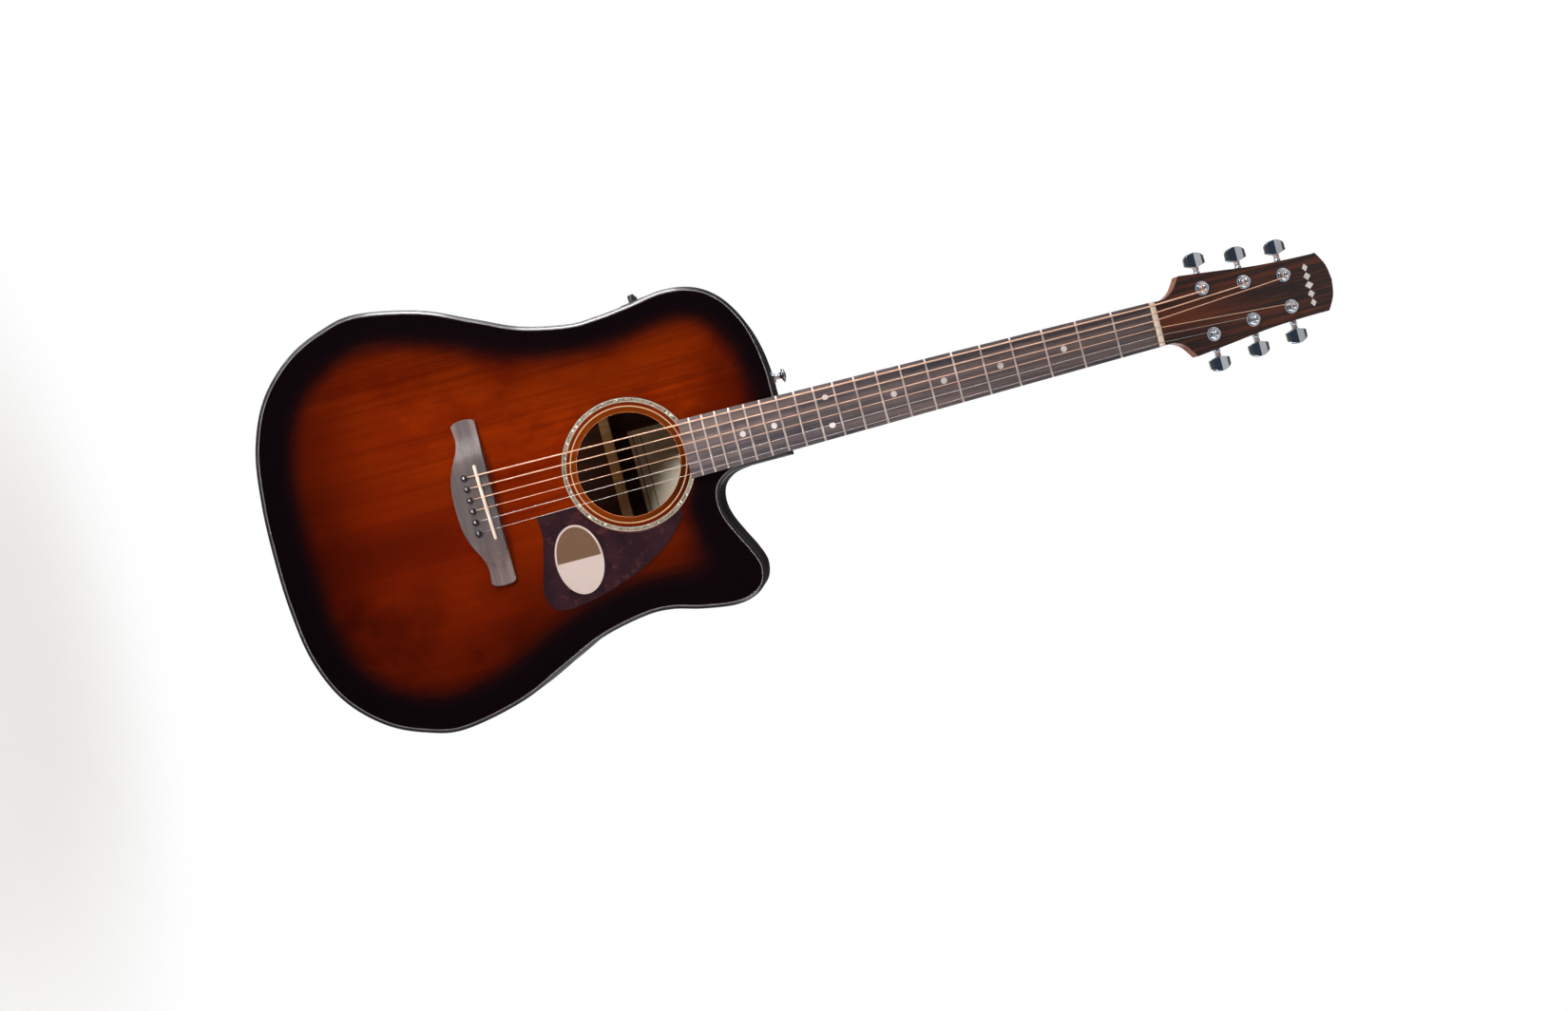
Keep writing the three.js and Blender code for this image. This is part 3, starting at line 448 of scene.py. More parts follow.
def turn_outwards(mesh):
    """Turns every face of a closed mesh the same way, and outwards, so that its volume is positive."""
    work = bmesh.new()
    work.from_mesh(mesh)
    bmesh.ops.recalc_face_normals(work, faces=work.faces)
    work.to_mesh(mesh)
    work.free()
    mesh.calc_loop_triangles()
    volume = 0.0
    for triangle in mesh.loop_triangles:
        a, b, c = (mesh.vertices[index].co for index in triangle.vertices)
        volume += a.dot(b.cross(c))
    if volume < 0:
        mesh.flip_normals()


def spline(points, per_span):
    """Points of a Catmull-Rom curve through the given ones."""
    made = []
    ends = [points[0], *points, points[-1]]
    for index in range(len(points) - 1):
        p0, p1, p2, p3 = (Vector(ends[index + k]) for k in range(4))
        for step in range(per_span):
            t = step / per_span
            value = p1 + ((p2 - p0) * t + (2 * p0 - 5 * p1 + 4 * p2 - p3) * t * t
                          + (3 * p1 - p0 - 3 * p2 + p3) * t * t * t) / 2
            made.append(tuple(value if step or index else p1))
    return [*made, tuple(points[-1])]


def mirrored(right):
    """A closed outline from its right half, whose first or last point may lie on the centre line."""
    left = [(-x, z) for x, z in reversed(right) if abs(x) > 1e-6]
    return [*right, *left]


def inset(outline, distance):
    """The closed outline moved inwards, each corner mitred."""
    made = []
    count = len(outline)
    for index, (x, z) in enumerate(outline):
        px, pz = outline[index - 1]
        nx, nz = outline[(index + 1) % count]
        before = Vector((z - pz, px - x)).normalized()
        after = Vector((nz - z, x - nx)).normalized()
        middle = before + after
        reach = 2 * distance / middle.length_squared
        made.append((x + middle.x * reach, z + middle.y * reach))
    return made


def circle(radius, centre=(0, 0), steps=96):
    turns = [2 * math.pi * step / steps for step in range(steps)]
    return [(centre[0] + radius * math.cos(a), centre[1] + radius * math.sin(a)) for a in turns]


def half_turn(steps):
    """Even angles from 0 to pi."""
    return [math.pi * step / steps for step in range(steps + 1)]


def from_side_to_side(half, steps):
    """Even places from -half to half."""
    return [-half + 2 * half * step / steps for step in range(steps + 1)]


def inside(point, outline):
    """True if the point lies in the closed outline."""
    x, z = point
    found = False
    for index, (x1, z1) in enumerate(outline):
        x0, z0 = outline[index - 1]
        if (z0 > z) != (z1 > z) and x < (x1 - x0) * (z - z0) / (z1 - z0) + x0:
            found = not found
    return found


def fill(loops, extra=()):
    """Triangles that fill the first loop less the others. extra points lie inside."""
    points, edges = [], []
    for loop in loops:
        first = len(points)
        points.extend(loop)
        edges.extend((first + k, first + (k + 1) % len(loop)) for k in range(len(loop)))
    points.extend(extra)
    found = delaunay_2d_cdt([Vector(p) for p in points], edges, [], 0, 1e-6)
    vertices = [tuple(v) for v in found[0]]
    faces = []
    for face in found[2]:
        centre = [sum(vertices[k][axis] for k in face) / len(face) for axis in (0, 1)]
        if inside(centre, loops[0]) and not any(inside(centre, hole) for hole in loops[1:]):
            faces.append(tuple(face))
    return vertices, faces


def make_plate(name, loops, front, back, material, slot, extra=(), place=None, **options):
    """A plate whose outline and holes lie in x and z. front and back are y, or functions of x and z."""
    flat, faces = fill(loops, extra)
    count = len(flat)
    depth = [value if callable(value) else (lambda x, z, value=value: value) for value in (front, back)]
    vertices = [Vector((x, side(x, z), z)) for side in depth for x, z in flat]
    made = [*faces, *(tuple(count + k for k in reversed(face)) for face in faces)]
    first = 0
    for loop in loops:
        for k in range(len(loop)):
            a, b = first + k, first + (k + 1) % len(loop)
            made.append((a, b, b + count, a + count))
        first += len(loop)
    if place:
        vertices = [place @ v for v in vertices]
    return make_piece(name, vertices, made, material, slot, **options)


def make_box(name, x, y, z, material, slot, place=Matrix(), **options):
    """A small box from its low and high x, y and z, moved by place."""
    corners = [place @ Vector((a, b, c)) for a in x for b in y for c in z]
    faces = [(0, 1, 3, 2), (4, 6, 7, 5), (0, 4, 5, 1), (2, 3, 7, 6), (0, 2, 6, 4), (1, 5, 7, 3)]
    return make_piece(name, corners, faces, material, slot, **options)


def loft(rings, closed=False):
    """Vertices and faces through rings of equal length, capped unless the rings close on themselves."""
    count = len(rings[0])
    vertices = [point for ring in rings for point in ring]
    faces = []
    last = len(rings) if closed else len(rings) - 1
    for ring in range(last):
        below = ring * count
        above = ((ring + 1) % len(rings)) * count
        for k in range(count):
            n = (k + 1) % count
            faces.append((below + k, below + n, above + n, above + k))
    if not closed:
        faces.append(tuple(reversed(range(count))))
        faces.append(tuple(range((len(rings) - 1) * count, len(rings) * count)))
    return vertices, faces


def make_band(name, outline, profile, material, slot, closed=True, **options):
    """A moulding along the body outline. profile holds (inset, y) pairs; y may be a function of x and z."""
    around = []
    for distance, depth in profile:
        ring = inset(outline, distance)
        around.append([(x, depth(x, z) if callable(depth) else depth, z) for x, z in ring])
    picked = options.pop("part", range(len(outline)))
    rings = [[ring[index] for ring in around] for index in picked]
    return make_piece(name, *loft(rings, closed), material, slot, **options)


def make_turned(name, profile, start, direction, material, slot, sides=48, **options):
    """A solid of revolution. profile holds (radius, height) pairs, open ends being closed flat."""
    turn = Vector((0, 0, 1)).rotation_difference(Vector(direction)).to_matrix()
    rings = []
    for radius, height in profile:
        ring = circle(max(radius, 0.01), steps=sides)
        rings.append([Vector(start) + turn @ Vector((x, y, height)) for x, y in ring])
    return make_piece(name, *loft(rings), material, slot, **options)


def tube(points, radius, sides=12):
    """Rings round a path, kept from twisting."""
    path = [Vector(p) for p in points]
    tangents = []
    for index in range(len(path)):
        ahead = path[min(index + 1, len(path) - 1)] - path[max(index - 1, 0)]
        tangents.append(ahead.normalized())
    side = tangents[0].orthogonal().normalized()
    rings = []
    for point, tangent in zip(path, tangents):
        side = (side - tangent * side.dot(tangent)).normalized()
        other = tangent.cross(side)
        ring = circle(radius, steps=sides)
        rings.append([point + side * a + other * b for a, b in ring])
    return rings


# ---- Body outline, in x and z

CUTAWAY = [
    (30, -404), (33, -421), (42, -433), (56, -437), (72, -434.5), (90, -426.5), (110, -416.5),
    (126, -411.8), (142.2, -416), (152, -429), (155, -449), (150.5, -480),
]
LOWER_HALF = [
    (143.7, -508), (143.6, -535), (153.2, -579), (171.4, -620), (192.6, -668), (204.8, -728),
    (198.6, -765), (181.1, -802.4), (148.1, -835.5), (103.4, -855.2), (51.6, -862.9), (0, TAIL),
]
BASS_SHOULDER = [
    (-146.7, -478), (-152, -440), (-146.9, -410.2), (-131.4, -388), (-106, -372), (-78, -363.7),
    (-50, NECK_JOINT),
]


def body_outline():
    left_half = [(-x, z) for x, z in reversed(LOWER_HALF[:-1])]
    around = spline([*CUTAWAY, *LOWER_HALF, *left_half, *BASS_SHOULDER], 8)
    ledge = [(30, NECK_JOINT - 44 * step / 6) for step in range(6)]
    shoulder = [(-x, NECK_JOINT) for x in (35, 20, 0)]
    return [(15, NECK_JOINT), *ledge, *around, *shoulder]


OUTLINE = body_outline()
TAIL_INDEX = min(range(len(OUTLINE)), key=lambda index: OUTLINE[index][1])
NECK_INDEX = len(OUTLINE) - 1


def back_face(offset=0.0):
    """y of the back's outer face, moved by offset, as a function of x and z."""
    def depth(x, z):
        along = (NECK_JOINT - z) / (NECK_JOINT - TAIL)
        return 107 + 18 * along + 8 * along * (1 - along) - x * x / 8000 + offset
    return depth


def rim_distance(point, outline):
    """Distance from a point to the nearest stretch of a closed outline."""
    best = 1e9
    p = Vector(point)
    for index in range(len(outline)):
        a = Vector(outline[index - 1])
        b = Vector(outline[index])
        run = b - a
        t = max(0.0, min(1.0, (p - a).dot(run) / max(run.length_squared, 1e-9)))
        best = min(best, (a + run * t - p).length_squared)
    return math.sqrt(best)


# ---- Body pieces


def smooth_step(low, high, value):
    t = max(0.0, min(1.0, (value - low) / (high - low)))
    return t * t * (3 - 2 * t)


# Where the sprayed rim is wider or narrower than elsewhere: shift, x, z and width of each place
BURST_SHIFTS = ((-4, 122, -432, 52), (6, -90, -520, 130), (12, -45, -405, 50))


def burst_reach(x, z):
    """Distance from the rim. The horn counts as nearer to it than it is, and the bass waist as farther."""
    reach = rim_distance((x, z), OUTLINE)
    for shift, middle_x, middle_z, width in BURST_SHIFTS:
        reach += shift * math.exp(-((x - middle_x) ** 2 + (z - middle_z) ** 2) / width ** 2)
    return reach


def inner_grid(outline, spacing, margin, hole=0):
    """Points of a square grid, margin inside the outline and at least hole from the sound hole's middle."""
    made = []
    columns = int(420 / spacing)
    rows = int(520 / spacing)
    for i in range(columns):
        for j in range(rows):
            point = (-210 + i * spacing, TAIL + j * spacing)
            far_from_hole = math.hypot(point[0], point[1] - HOLE_Z) >= hole
            if far_from_hole and inside(point, outline) and rim_distance(point, outline) > margin:
                made.append(point)
    return made


def make_top():
    rim = inset(OUTLINE, BINDING_WIDTH + PURFLING_WIDTH)
    hole = circle(HOLE_RADIUS, (0, HOLE_Z), 120)
    made = make_plate(
        "soundboard", [rim, hole], FACE, FACE + TOP_THICKNESS, SUNBURST, "spruce_top",
        extra=inner_grid(rim, 7, 4, HOLE_RADIUS + 4), replaces=("top",), bevel=(0.3, 2))
    mesh = made.data
    values = [burst_reach(vertex.co.x / MM, vertex.co.z / MM) for vertex in mesh.vertices]
    near = [[index] for index in range(len(values))]
    for edge in mesh.edges:
        a, b = edge.vertices
        near[a].append(b)
        near[b].append(a)
    for _ in range(6):
        values = [sum(values[k] for k in group) / len(group) for group in near]
    mesh.attributes.new("reach", "FLOAT", "POINT").data.foreach_set("value", values)


def make_back():
    rim = inset(OUTLINE, BINDING_WIDTH)
    make_plate(
        "back_plate", [rim], back_face(-BACK_THICKNESS), back_face(), LACQUER, "body_wood",
        extra=inner_grid(rim, 16, 8), replaces=("back",))
    # The back's inner face, in mahogany painted darker for the shade inside the body.
    lining = inset(OUTLINE, BINDING_WIDTH + 9)
    make_plate(
        "back_inside", [lining], back_face(-BACK_THICKNESS - 0.2), back_face(-BACK_THICKNESS - 0.05),
        SHADED_INNER_BACK, "block_wood", extra=inner_grid(lining, 16, 8))


def make_sides():
    far = back_face(-BINDING_HEIGHT)
    profile = [(0, RIB_FRONT), (BINDING_WIDTH, RIB_FRONT), (BINDING_WIDTH, far), (0, far)]
    treble = [NECK_INDEX, *range(0, TAIL_INDEX + 1)]
    bass = range(TAIL_INDEX, NECK_INDEX + 1)
    for name, part, node in (("rib_treble", treble, "side_treble"), ("rib_bass", bass, "side_bass")):
        make_band(name, OUTLINE, profile, LACQUER, "body_wood", closed=False, part=part, replaces=(node,))
    make_box(
        "tail_strip", (-1.8, 1.8), (RIB_FRONT, span("endpin_jack")[1].y + 35), (TAIL - 0.15, TAIL + 0.5),
        BINDING, "binding")


def rounded_edge(front, away=1):
    """Profile of a binding with its outer corner rounded. away is the sign of y away from its face."""
    corner = []
    for step in range(5):
        angle = math.pi / 2 * step / 4
        corner.append((1 - math.sin(angle), 1 - math.cos(angle)))
    width = BINDING_WIDTH - 0.02
    profile = [*corner, (width, 0), (width, BINDING_HEIGHT), (0, BINDING_HEIGHT)]
    if callable(front):
        return [(x, (lambda px, pz, y=y: front(px, pz) + away * y)) for x, y in profile]
    return [(x, front + away * y) for x, y in profile]


def make_bindings():
    make_band(
        "binding_front", OUTLINE, rounded_edge(FACE), BINDING, "binding", replaces=("top_binding",))
    make_band(
        "binding_back", OUTLINE, rounded_edge(back_face(), -1), BINDING, "binding",
        replaces=("back_binding",))
    inner = BINDING_WIDTH + PURFLING_WIDTH - 0.02
    outer = BINDING_WIDTH + 0.02
    line = [(outer, FACE - 0.02), (inner, FACE - 0.02), (inner, FACE + 2), (outer, FACE + 2)]
    make_band("purfling_front", OUTLINE, line, PURFLING, "bone")


def make_ring(name, inner, outer, proud, material, slot, **options):
    loops = [circle(outer, (0, HOLE_Z), 144), circle(inner, (0, HOLE_Z), 144)]
    return make_plate(name, loops, FACE - proud, FACE + 0.6, material, slot, **options)


def make_rosette():
    make_ring("rosette_shell", 60.2, 63, 0.04, ABALONE, "rosette_shell", replaces=("rosette",))
    for name, inner, outer, material, slot in (
        ("rosette_edge_outer", 63.6, 64.2, BINDING, "binding"),
        ("rosette_line_outer", 63, 63.6, GREY_LINE, "bone"),
        ("rosette_line_inner", 59.6, 60.2, GREY_LINE, "bone"),
        ("rosette_edge_inner", 59.1, 59.6, BINDING, "binding"),
        ("hole_ring_outer", 56, 56.4, BINDING, "binding"),
        ("hole_ring", 55, 56, TAN_LINE, "bone"),
        ("hole_ring_inner", 54.6, 55, BINDING, "binding"),
    ):
        make_ring(name, inner, outer, 0.03, material, slot)
    edge = [circle(HOLE_RADIUS + 0.02, (0, HOLE_Z), 120), circle(HOLE_RADIUS - 0.25, (0, HOLE_Z), 120)]
    make_plate("hole_edge", edge, FACE + 0.25, FACE + TOP_THICKNESS - 0.1, HOLE_SPRUCE, "spruce_top")


def pickguard_outline():
    outer = spline([
        (60, -475.5), (82, -496), (100, -528), (113, -565), (119, -600), (114, -616.5), (98, -622),
        (72, -615.5), (45, -609.5), (26, -611),
    ], 8)
    radius = ROSETTE_OUTER + 0.8
    start = math.atan2(-573 - HOLE_Z, 26)
    end = math.atan2(-474.5 - HOLE_Z, 52.5)
    angles = [start + (end - start) * step / 40 for step in range(41)]
    return [*outer, *((radius * math.cos(a), HOLE_Z + radius * math.sin(a)) for a in angles)]


def make_pickguard():
    make_plate(
        "scratch_plate", [pickguard_outline()], GUARD_FACE, FACE - 0.05, TORTOISE, "pickguard",
        replaces=("pickguard",), bevel=(0.35, 2))


def oval(scale_x, scale_z):
    return [(BADGE_X + scale_x * x, BADGE_Z + scale_z * z) for x, z in circle(1)]


def make_badge():
    """A plain oval paper badge on the pickguard: cream, with a brown half."""
    rim_face = GUARD_FACE - 0.12
    make_plate("badge_rim", [oval(33.5, 23)], rim_face, GUARD_FACE, PAPER_CREAM, "bone")
    half = [(x, z) for x, z in oval(31.6, 21.2) if x <= 76]
    make_plate("badge_half", [half], rim_face - 0.06, rim_face, PAPER_BROWN, "pickguard")


def make_label():
    """Plain paper label glued inside the back, seen through the sound hole, with four thin rules."""
    left, right = LABEL_X
    low, high = LABEL_Z
    outline = [(left, high), (right, high), (right, low), (left, low)]
    across = [left + (right - left) * i / 6 for i in range(1, 6)]
    grid = [(x, high - (high - low) * j / 4) for x in across for j in range(1, 4)]
    make_plate("label", [outline], back_face(-3.2), back_face(-3.05), PAPER, "bone", extra=grid)
    for index, down in enumerate((4, 11, 43, 51)):
        z = high - down
        rule = [(left + 5, z), (right - 5, z), (right - 5, z - 0.7), (left + 5, z - 0.7)]
        make_plate(f"label_rule_{index + 1}", [rule], back_face(-3.28), back_face(-3.2), PAPER_BROWN, "bone")


# ---- Bridge, saddle, pins


def bridge_outline():
    belly = spline([
        (77, -667.5), (62, -666.5), (50, -669.5), (36, -676.5), (20, -681), (0, BRIDGE_LOW),
    ], 6)
    corner = spline([(78, BRIDGE_HIGH), (80.3, -648), (BRIDGE_HALF, -655), (80, -663), (77, -667.5)], 4)
    upper = [(x, BRIDGE_HIGH) for x in (0, 15, 30, 44, 50, 60, 70)]
    return mirrored([*upper, *corner[:-1], *belly])


def bridge_height(x, z):
    """y of the bridge's upper face: a tall middle that scoops down to thin wings."""
    side = abs(x)
    scoop = smooth_step(42, 66, side)
    wing = span("bridge")[1].y - 3.6
    crown_drop = 0.5 * ((z + 660) / 20) ** 2
    return BRIDGE_TOP + (wing - BRIDGE_TOP) * scoop + crown_drop * (0.25 + scoop * 0.6)


def make_bridge():
    outline = bridge_outline()
    slot_half = span("saddle")[1].x + 0.1
    pin_places = [string_place(index, PIN_SPACING) for index in range(6)]
    holes = [circle(2.45, (x, PIN_Z), 24) for x in pin_places]
    grid = []
    for x in range(-78, 79, 3):
        for z in range(-680, -645, 3):
            clear = all(math.hypot(x - pin, z - PIN_Z) > 4 for pin in pin_places)
            saddle_far = abs(x) > slot_half + 2 or abs(z - SADDLE_Z) > 4.5
            if clear and saddle_far and inside((x, z), outline) and rim_distance((x, z), outline) > 1.5:
                grid.append((x, z))
    make_plate(
        "bridge_body", [outline, saddle_loop(slot_half, 1.65), *holes], bridge_height, FACE - 0.1,
        BRIDGE_WOOD, "rosewood", extra=grid, replaces=("bridge",), bevel=(0.7, 3), sharp=45)


def string_place(index, spacing):
    return (index - 2.5) * spacing


def saddle_loop(half, thickness):
    """A slanted slot in x and z, with round ends, going round it."""
    ends = []
    for sign in (1, -1):
        centre = sign * (half - thickness)
        for step in range(7):
            angle = -math.pi / 2 + math.pi * step / 6
            x = centre + sign * thickness * math.cos(angle)
            z = sign * thickness * math.sin(angle)
            ends.append((x, SADDLE_Z + z + SADDLE_SLOPE * x))
    return ends


def crown(x):
    return x * x / (2 * CROWN_RADIUS)


def make_saddle():
    half = span("saddle")[1].x
    rings = []
    for x in from_side_to_side(half, 32):
        top = SADDLE_CREST + crown(x)
        centre = SADDLE_Z + SADDLE_SLOPE * x
        round_end = math.sqrt(max(0.0, 1 - max(0.0, (abs(x) - half + 0.5) / 0.5) ** 2))
        width = 1.1 + 0.5 * round_end
        drop = 0.4 * (1 - round_end)
        ring = []
        for angle in half_turn(8):
            ring.append((x, top + drop + 1.1 * (1 - math.sin(angle)), centre + width * math.cos(angle)))
        ring += [(x, 3, centre - width), (x, 3, centre + width)]
        rings.append(ring)
    make_piece("saddle_blade", *loft(rings), BONE, "bone", replaces=("saddle",), sharp=40)


def make_pins():
    for index in range(6):
        x = string_place(index, PIN_SPACING)
        seat = bridge_height(x, PIN_Z)
        profile = [
            (1.4, -24), (1.8, -22), (2.2, -1), (2.2, 0), (3.05, 0.05), (3.15, 0.7), (2.95, 1.3), (2.8, 1.5),
            (2.95, 1.75), (2.8, 2.3), (2.3, 2.9), (1.5, 3.3), (1.15, 3.4),
        ]
        make_turned(
            f"pin_{index + 1}", profile, (x, seat - 0.05, PIN_Z), OUT_OF_FACE, PLUM_PLASTIC, "black_plastic",
            replaces=(f"bridge_pin_{index + 1}",), sides=32, sharp=50)
        # A pearl dot on each pin's crown, partly a painted highlight: it stands for the small highlight on
        # each pin.
        dot = [(0.85, 0), (0.8, 0.12), (0.4, 0.18)]
        make_turned(f"pin_dot_and_highlight_{index + 1}", dot, (x, seat - 3.42, PIN_Z), OUT_OF_FACE, PEARL, "bone", 24)


# ---- Neck


def board_half(z):
    return NUT_HALF - 0.015 * z


def fret_place(number):
    return -SCALE * (1 - 2 ** (-number / 12))


def make_fingerboard():
    stations = [-0.3, *(-4.0 - 12 * step for step in range(38)), BOARD_END]
    rings = []
    for z in stations:
        half = board_half(z)
        upper = [(x, crown(x), z) for x in from_side_to_side(half, 16)]
        rings.append([*upper, (half, 6.3, z), (-half, 6.3, z)])
    make_piece(
        "fretboard", *loft(rings), BOARD_WOOD, "rosewood", replaces=("fingerboard",), bevel=(0.25, 2),
        sharp=40)


def make_frets():
    vertices, faces = [], []
    for number in range(1, FRET_COUNT + 1):
        z = fret_place(number)
        half = board_half(z) - 0.1
        rings = []
        for x in from_side_to_side(half, 24):
            end = max(0.0, abs(x) - half + 1.0)
            ring = []
            for angle in half_turn(8):
                height = (1.1 - 0.7 * end) * math.sin(angle) ** 0.8
                ring.append((x, crown(x) - height, z + math.cos(angle)))
            ring += [(x, crown(x) + 0.6, z - 0.5), (x, crown(x) + 0.6, z + 0.5)]
            rings.append(ring)
        made_vertices, made_faces = loft(rings)
        first = len(vertices)
        vertices += made_vertices
        faces += [tuple(first + k for k in face) for face in made_faces]
    make_piece("frets", vertices, faces, NICKEL, "chrome", sharp=50)


def make_dots():
    """Pearl dots in the board's face, and small ones along its bass edge."""
    places = {3: (0,), 5: (0,), 7: (0,), 9: (0,), 12: (-13.4, 13.4), 15: (0,), 17: (0,)}
    for number, offsets in places.items():
        z = (fret_place(number) + fret_place(number - 1)) / 2
        for index, x in enumerate(offsets):
            start = (x, crown(x) + 0.4, z)
            name = f"dot_{number}_{index + 1}"
            make_turned(name, [(2.9, 0), (2.9, 0.43), (2.6, 0.46)], start, OUT_OF_FACE, PEARL, "bone", 32)
        for index, shift in enumerate((0,) if len(offsets) == 1 else (-3, 3)):
            start = (-board_half(z) + 0.3, 2.6, z + shift)
            name = f"side_dot_{number}_{index + 1}"
            make_turned(name, [(1.0, 0), (1.0, 0.34), (0.8, 0.38)], start, (-1, 0, 0), PEARL, "bone", 20)


def make_nut():
    """The nut, scalloped by its six string slots."""
    rings = []
    for x in from_side_to_side(NUT_HALF, 172):
        top = crown(x) - 2.3
        for index, radius in enumerate(STRING_RADII):
            if abs(x - string_place(index, NUT_SPACING)) < radius + 0.12:
                top = crown(x) - 1.45
        edge = 0.5 * smooth_step(NUT_HALF - 1, NUT_HALF, abs(x))
        rings.append([
            (x, top + edge + 0.25, 0.02), (x, top + edge, 0.5), (x, top + edge + 0.25, 2.6),
            (x, top + edge + 0.9, NUT_LENGTH - 0.6), (x, top + edge + 1.5, NUT_LENGTH), (x, 6.1, NUT_LENGTH),
            (x, 6.1, 0.02),
        ])
    make_piece("nut_blade", *loft(rings), BONE, "bone", replaces=("nut",), sharp=40)


def on_head(across, along, proud=0.0):
    sin, cos = math.sin(HEAD_TILT), math.cos(HEAD_TILT)
    return Vector((across, HEAD_FACE_AT_NUT + along * sin - proud * cos, along * cos + proud * sin))


def head_frame(across=0.0, along=0.0, proud=0.0):
    """Places a piece made with x across, z along and -y out of the head's face."""
    return Matrix.Translation(on_head(across, along, proud)) @ Matrix.Rotation(-HEAD_TILT, 4, "X")


def head_outline(start):
    """The head's outline from start along it: flared wings, straight tapering sides and a low crown."""
    flare = spline([(20.8, 11), (21.8, 18), (26.5, 26.4), (34, 32.5), (37.9, 35)], 6)
    corner = spline([(37.9, 35), (38.9, 35.9), (38.8, 37.3)], 4)
    side = spline([(38.8, 37.3), (35.1, 72), (31, 109), (29.2, 140), (28.3, 175.2)], 6)
    crown_edge = spline([(28.3, 175.2), (27.6, 177.4), (15, 184.6), (0, HEAD_LENGTH)], 6)
    return mirrored([(20.8, start), *flare[:-1], *corner[:-1], *side[:-1], *crown_edge])


def neck_ring(z, half_width, depth, power):
    ring = []
    for angle in half_turn(32):
        c, s = math.cos(angle), math.sin(angle)
        x = -half_width * math.copysign(abs(c) ** (2 / power), c)
        ring.append((x, NECK_FRONT + depth * s ** (2 / power), z))
    return ring


def make_neck():
    """A shaft with its heel, and the head blank scarfed on behind the nut."""
    depths = spline([
        (9, 12.2), (0, 14.3), (-60, 15), (-250, 16.2), (-298, 17.5), (-314, 22), (-323, 31), (-330, 46),
        (-335, 66), (-340, 92), (-345, 104), (-352, 111), (NECK_JOINT + 0.3, 114),
    ], 4)
    limit = span("heel_cap")[0].y - 0.3
    rings = []
    for z, depth in depths:
        power = 2 + 0.3 * smooth_step(270, 330, -z)
        ring = neck_ring(z, board_half(min(z, 0)) - 0.4, depth, power)
        rings.append([(x, min(y, limit), z) for x, y, z in ring])
    make_piece("neck_shaft", *loft(rings), NECK_WOOD, "neck_wood", replaces=("neck",), sharp=40)
    front = HEADPLATE_THICKNESS + 0.02
    make_plate(
        "head_blank", [head_outline(5.7)], front, front + HEAD_THICKNESS, NECK_WOOD, "neck_wood",
        place=head_frame(), bevel=(0.8, 3), sharp=40)


def make_headplate():
    make_plate(
        "head_veneer", [head_outline(NUT_LENGTH + 0.15)], 0, HEADPLATE_THICKNESS, HEAD_WOOD, "headplate_wood",
        place=head_frame(), replaces=("headplate",), bevel=(0.35, 2), sharp=40)


def make_head_inlay():
    """A plain row of pearl lozenges across the end of the head."""
    middle = 163
    for index in range(-2, 3):
        x = 8.6 * index
        half_x, half_z = 3.8, 4.6 - 0.8 * abs(index)
        loop = [(x + half_x, middle), (x, middle + half_z), (x - half_x, middle), (x, middle - half_z)]
        make_plate(f"head_inlay_{index + 3}", [loop], -0.04, 0.4, PEARL, "bone", place=head_frame())


def make_heel_cap():
    low, high = span("heel_cap")
    half = high.x
    outline = [(half * math.cos(a), low.z + (high.z - low.z) * math.sin(a)) for a in half_turn(40)]
    make_plate(
        "heel_plate", [outline], low.y - 0.25, high.y, HEAD_WOOD, "headplate_wood", replaces=("heel_cap",),
        bevel=(0.5, 3))


# ---- Tuners


def joint_place(node):
    """Where the joint of a moving node is, in millimetres, and its axis."""
    joint = next(j for j in frame["joints"] if j["child"] == node)
    return Vector(joint["pos_m"]) / MM, Vector(joint["axis"])


def tuner_places():
    """(number, side, distance across, distance along) of each tuner, in string order."""
    places = []
    for number in range(1, 7):
        spot = joint_place(f"tuner_post_{number}")[0]
        places.append((number, math.copysign(1, spot.x), spot.x, spot.z / math.cos(HEAD_TILT)))
    return places


HEAD_NORMAL = on_head(0, 0, 1) - on_head(0, 0, 0)


def make_bushing(number, across, along):
    """Washer and hexagon nut on the head's face, round the post."""
    washer = [(6.8, 0), (6.8, 0.5), (6.4, 1.0), (5.7, 1.15), (5.5, 1.0)]
    make_turned(f"washer_{number}", washer, on_head(across, along), HEAD_NORMAL, CHROME, "chrome")
    nut = [(5.0, 0.9), (5.75, 1.3), (5.75, 2.0), (4.9, 2.6), (3.75, 2.8), (3.4, 2.5)]
    make_turned(
        f"bush_nut_{number}", nut, on_head(across, along), HEAD_NORMAL, CHROME, "chrome", 6, sharp=25,
        bevel=(0.25, 2))


def make_post(number, across, along):
    profile = [
        (2.7, -24.9), (2.98, -24.4), (3, 3.6), (2.9, 3.9), (2.2, 5.2), (2.15, 7.2), (2.85, 8.7), (3, 9.1),
        (3, POST_TOP - 0.7), (2.8, POST_TOP - 0.25), (2.3, POST_TOP), (1.5, POST_TOP), (1.2, POST_TOP - 0.4),
    ]
    make_turned(
        f"post_{number}", profile, on_head(across, along), HEAD_NORMAL, CHROME, "chrome",
        body=f"tuner_post_{number}", replaces=(f"tuner_post_{number}",), sides=40, sharp=50)


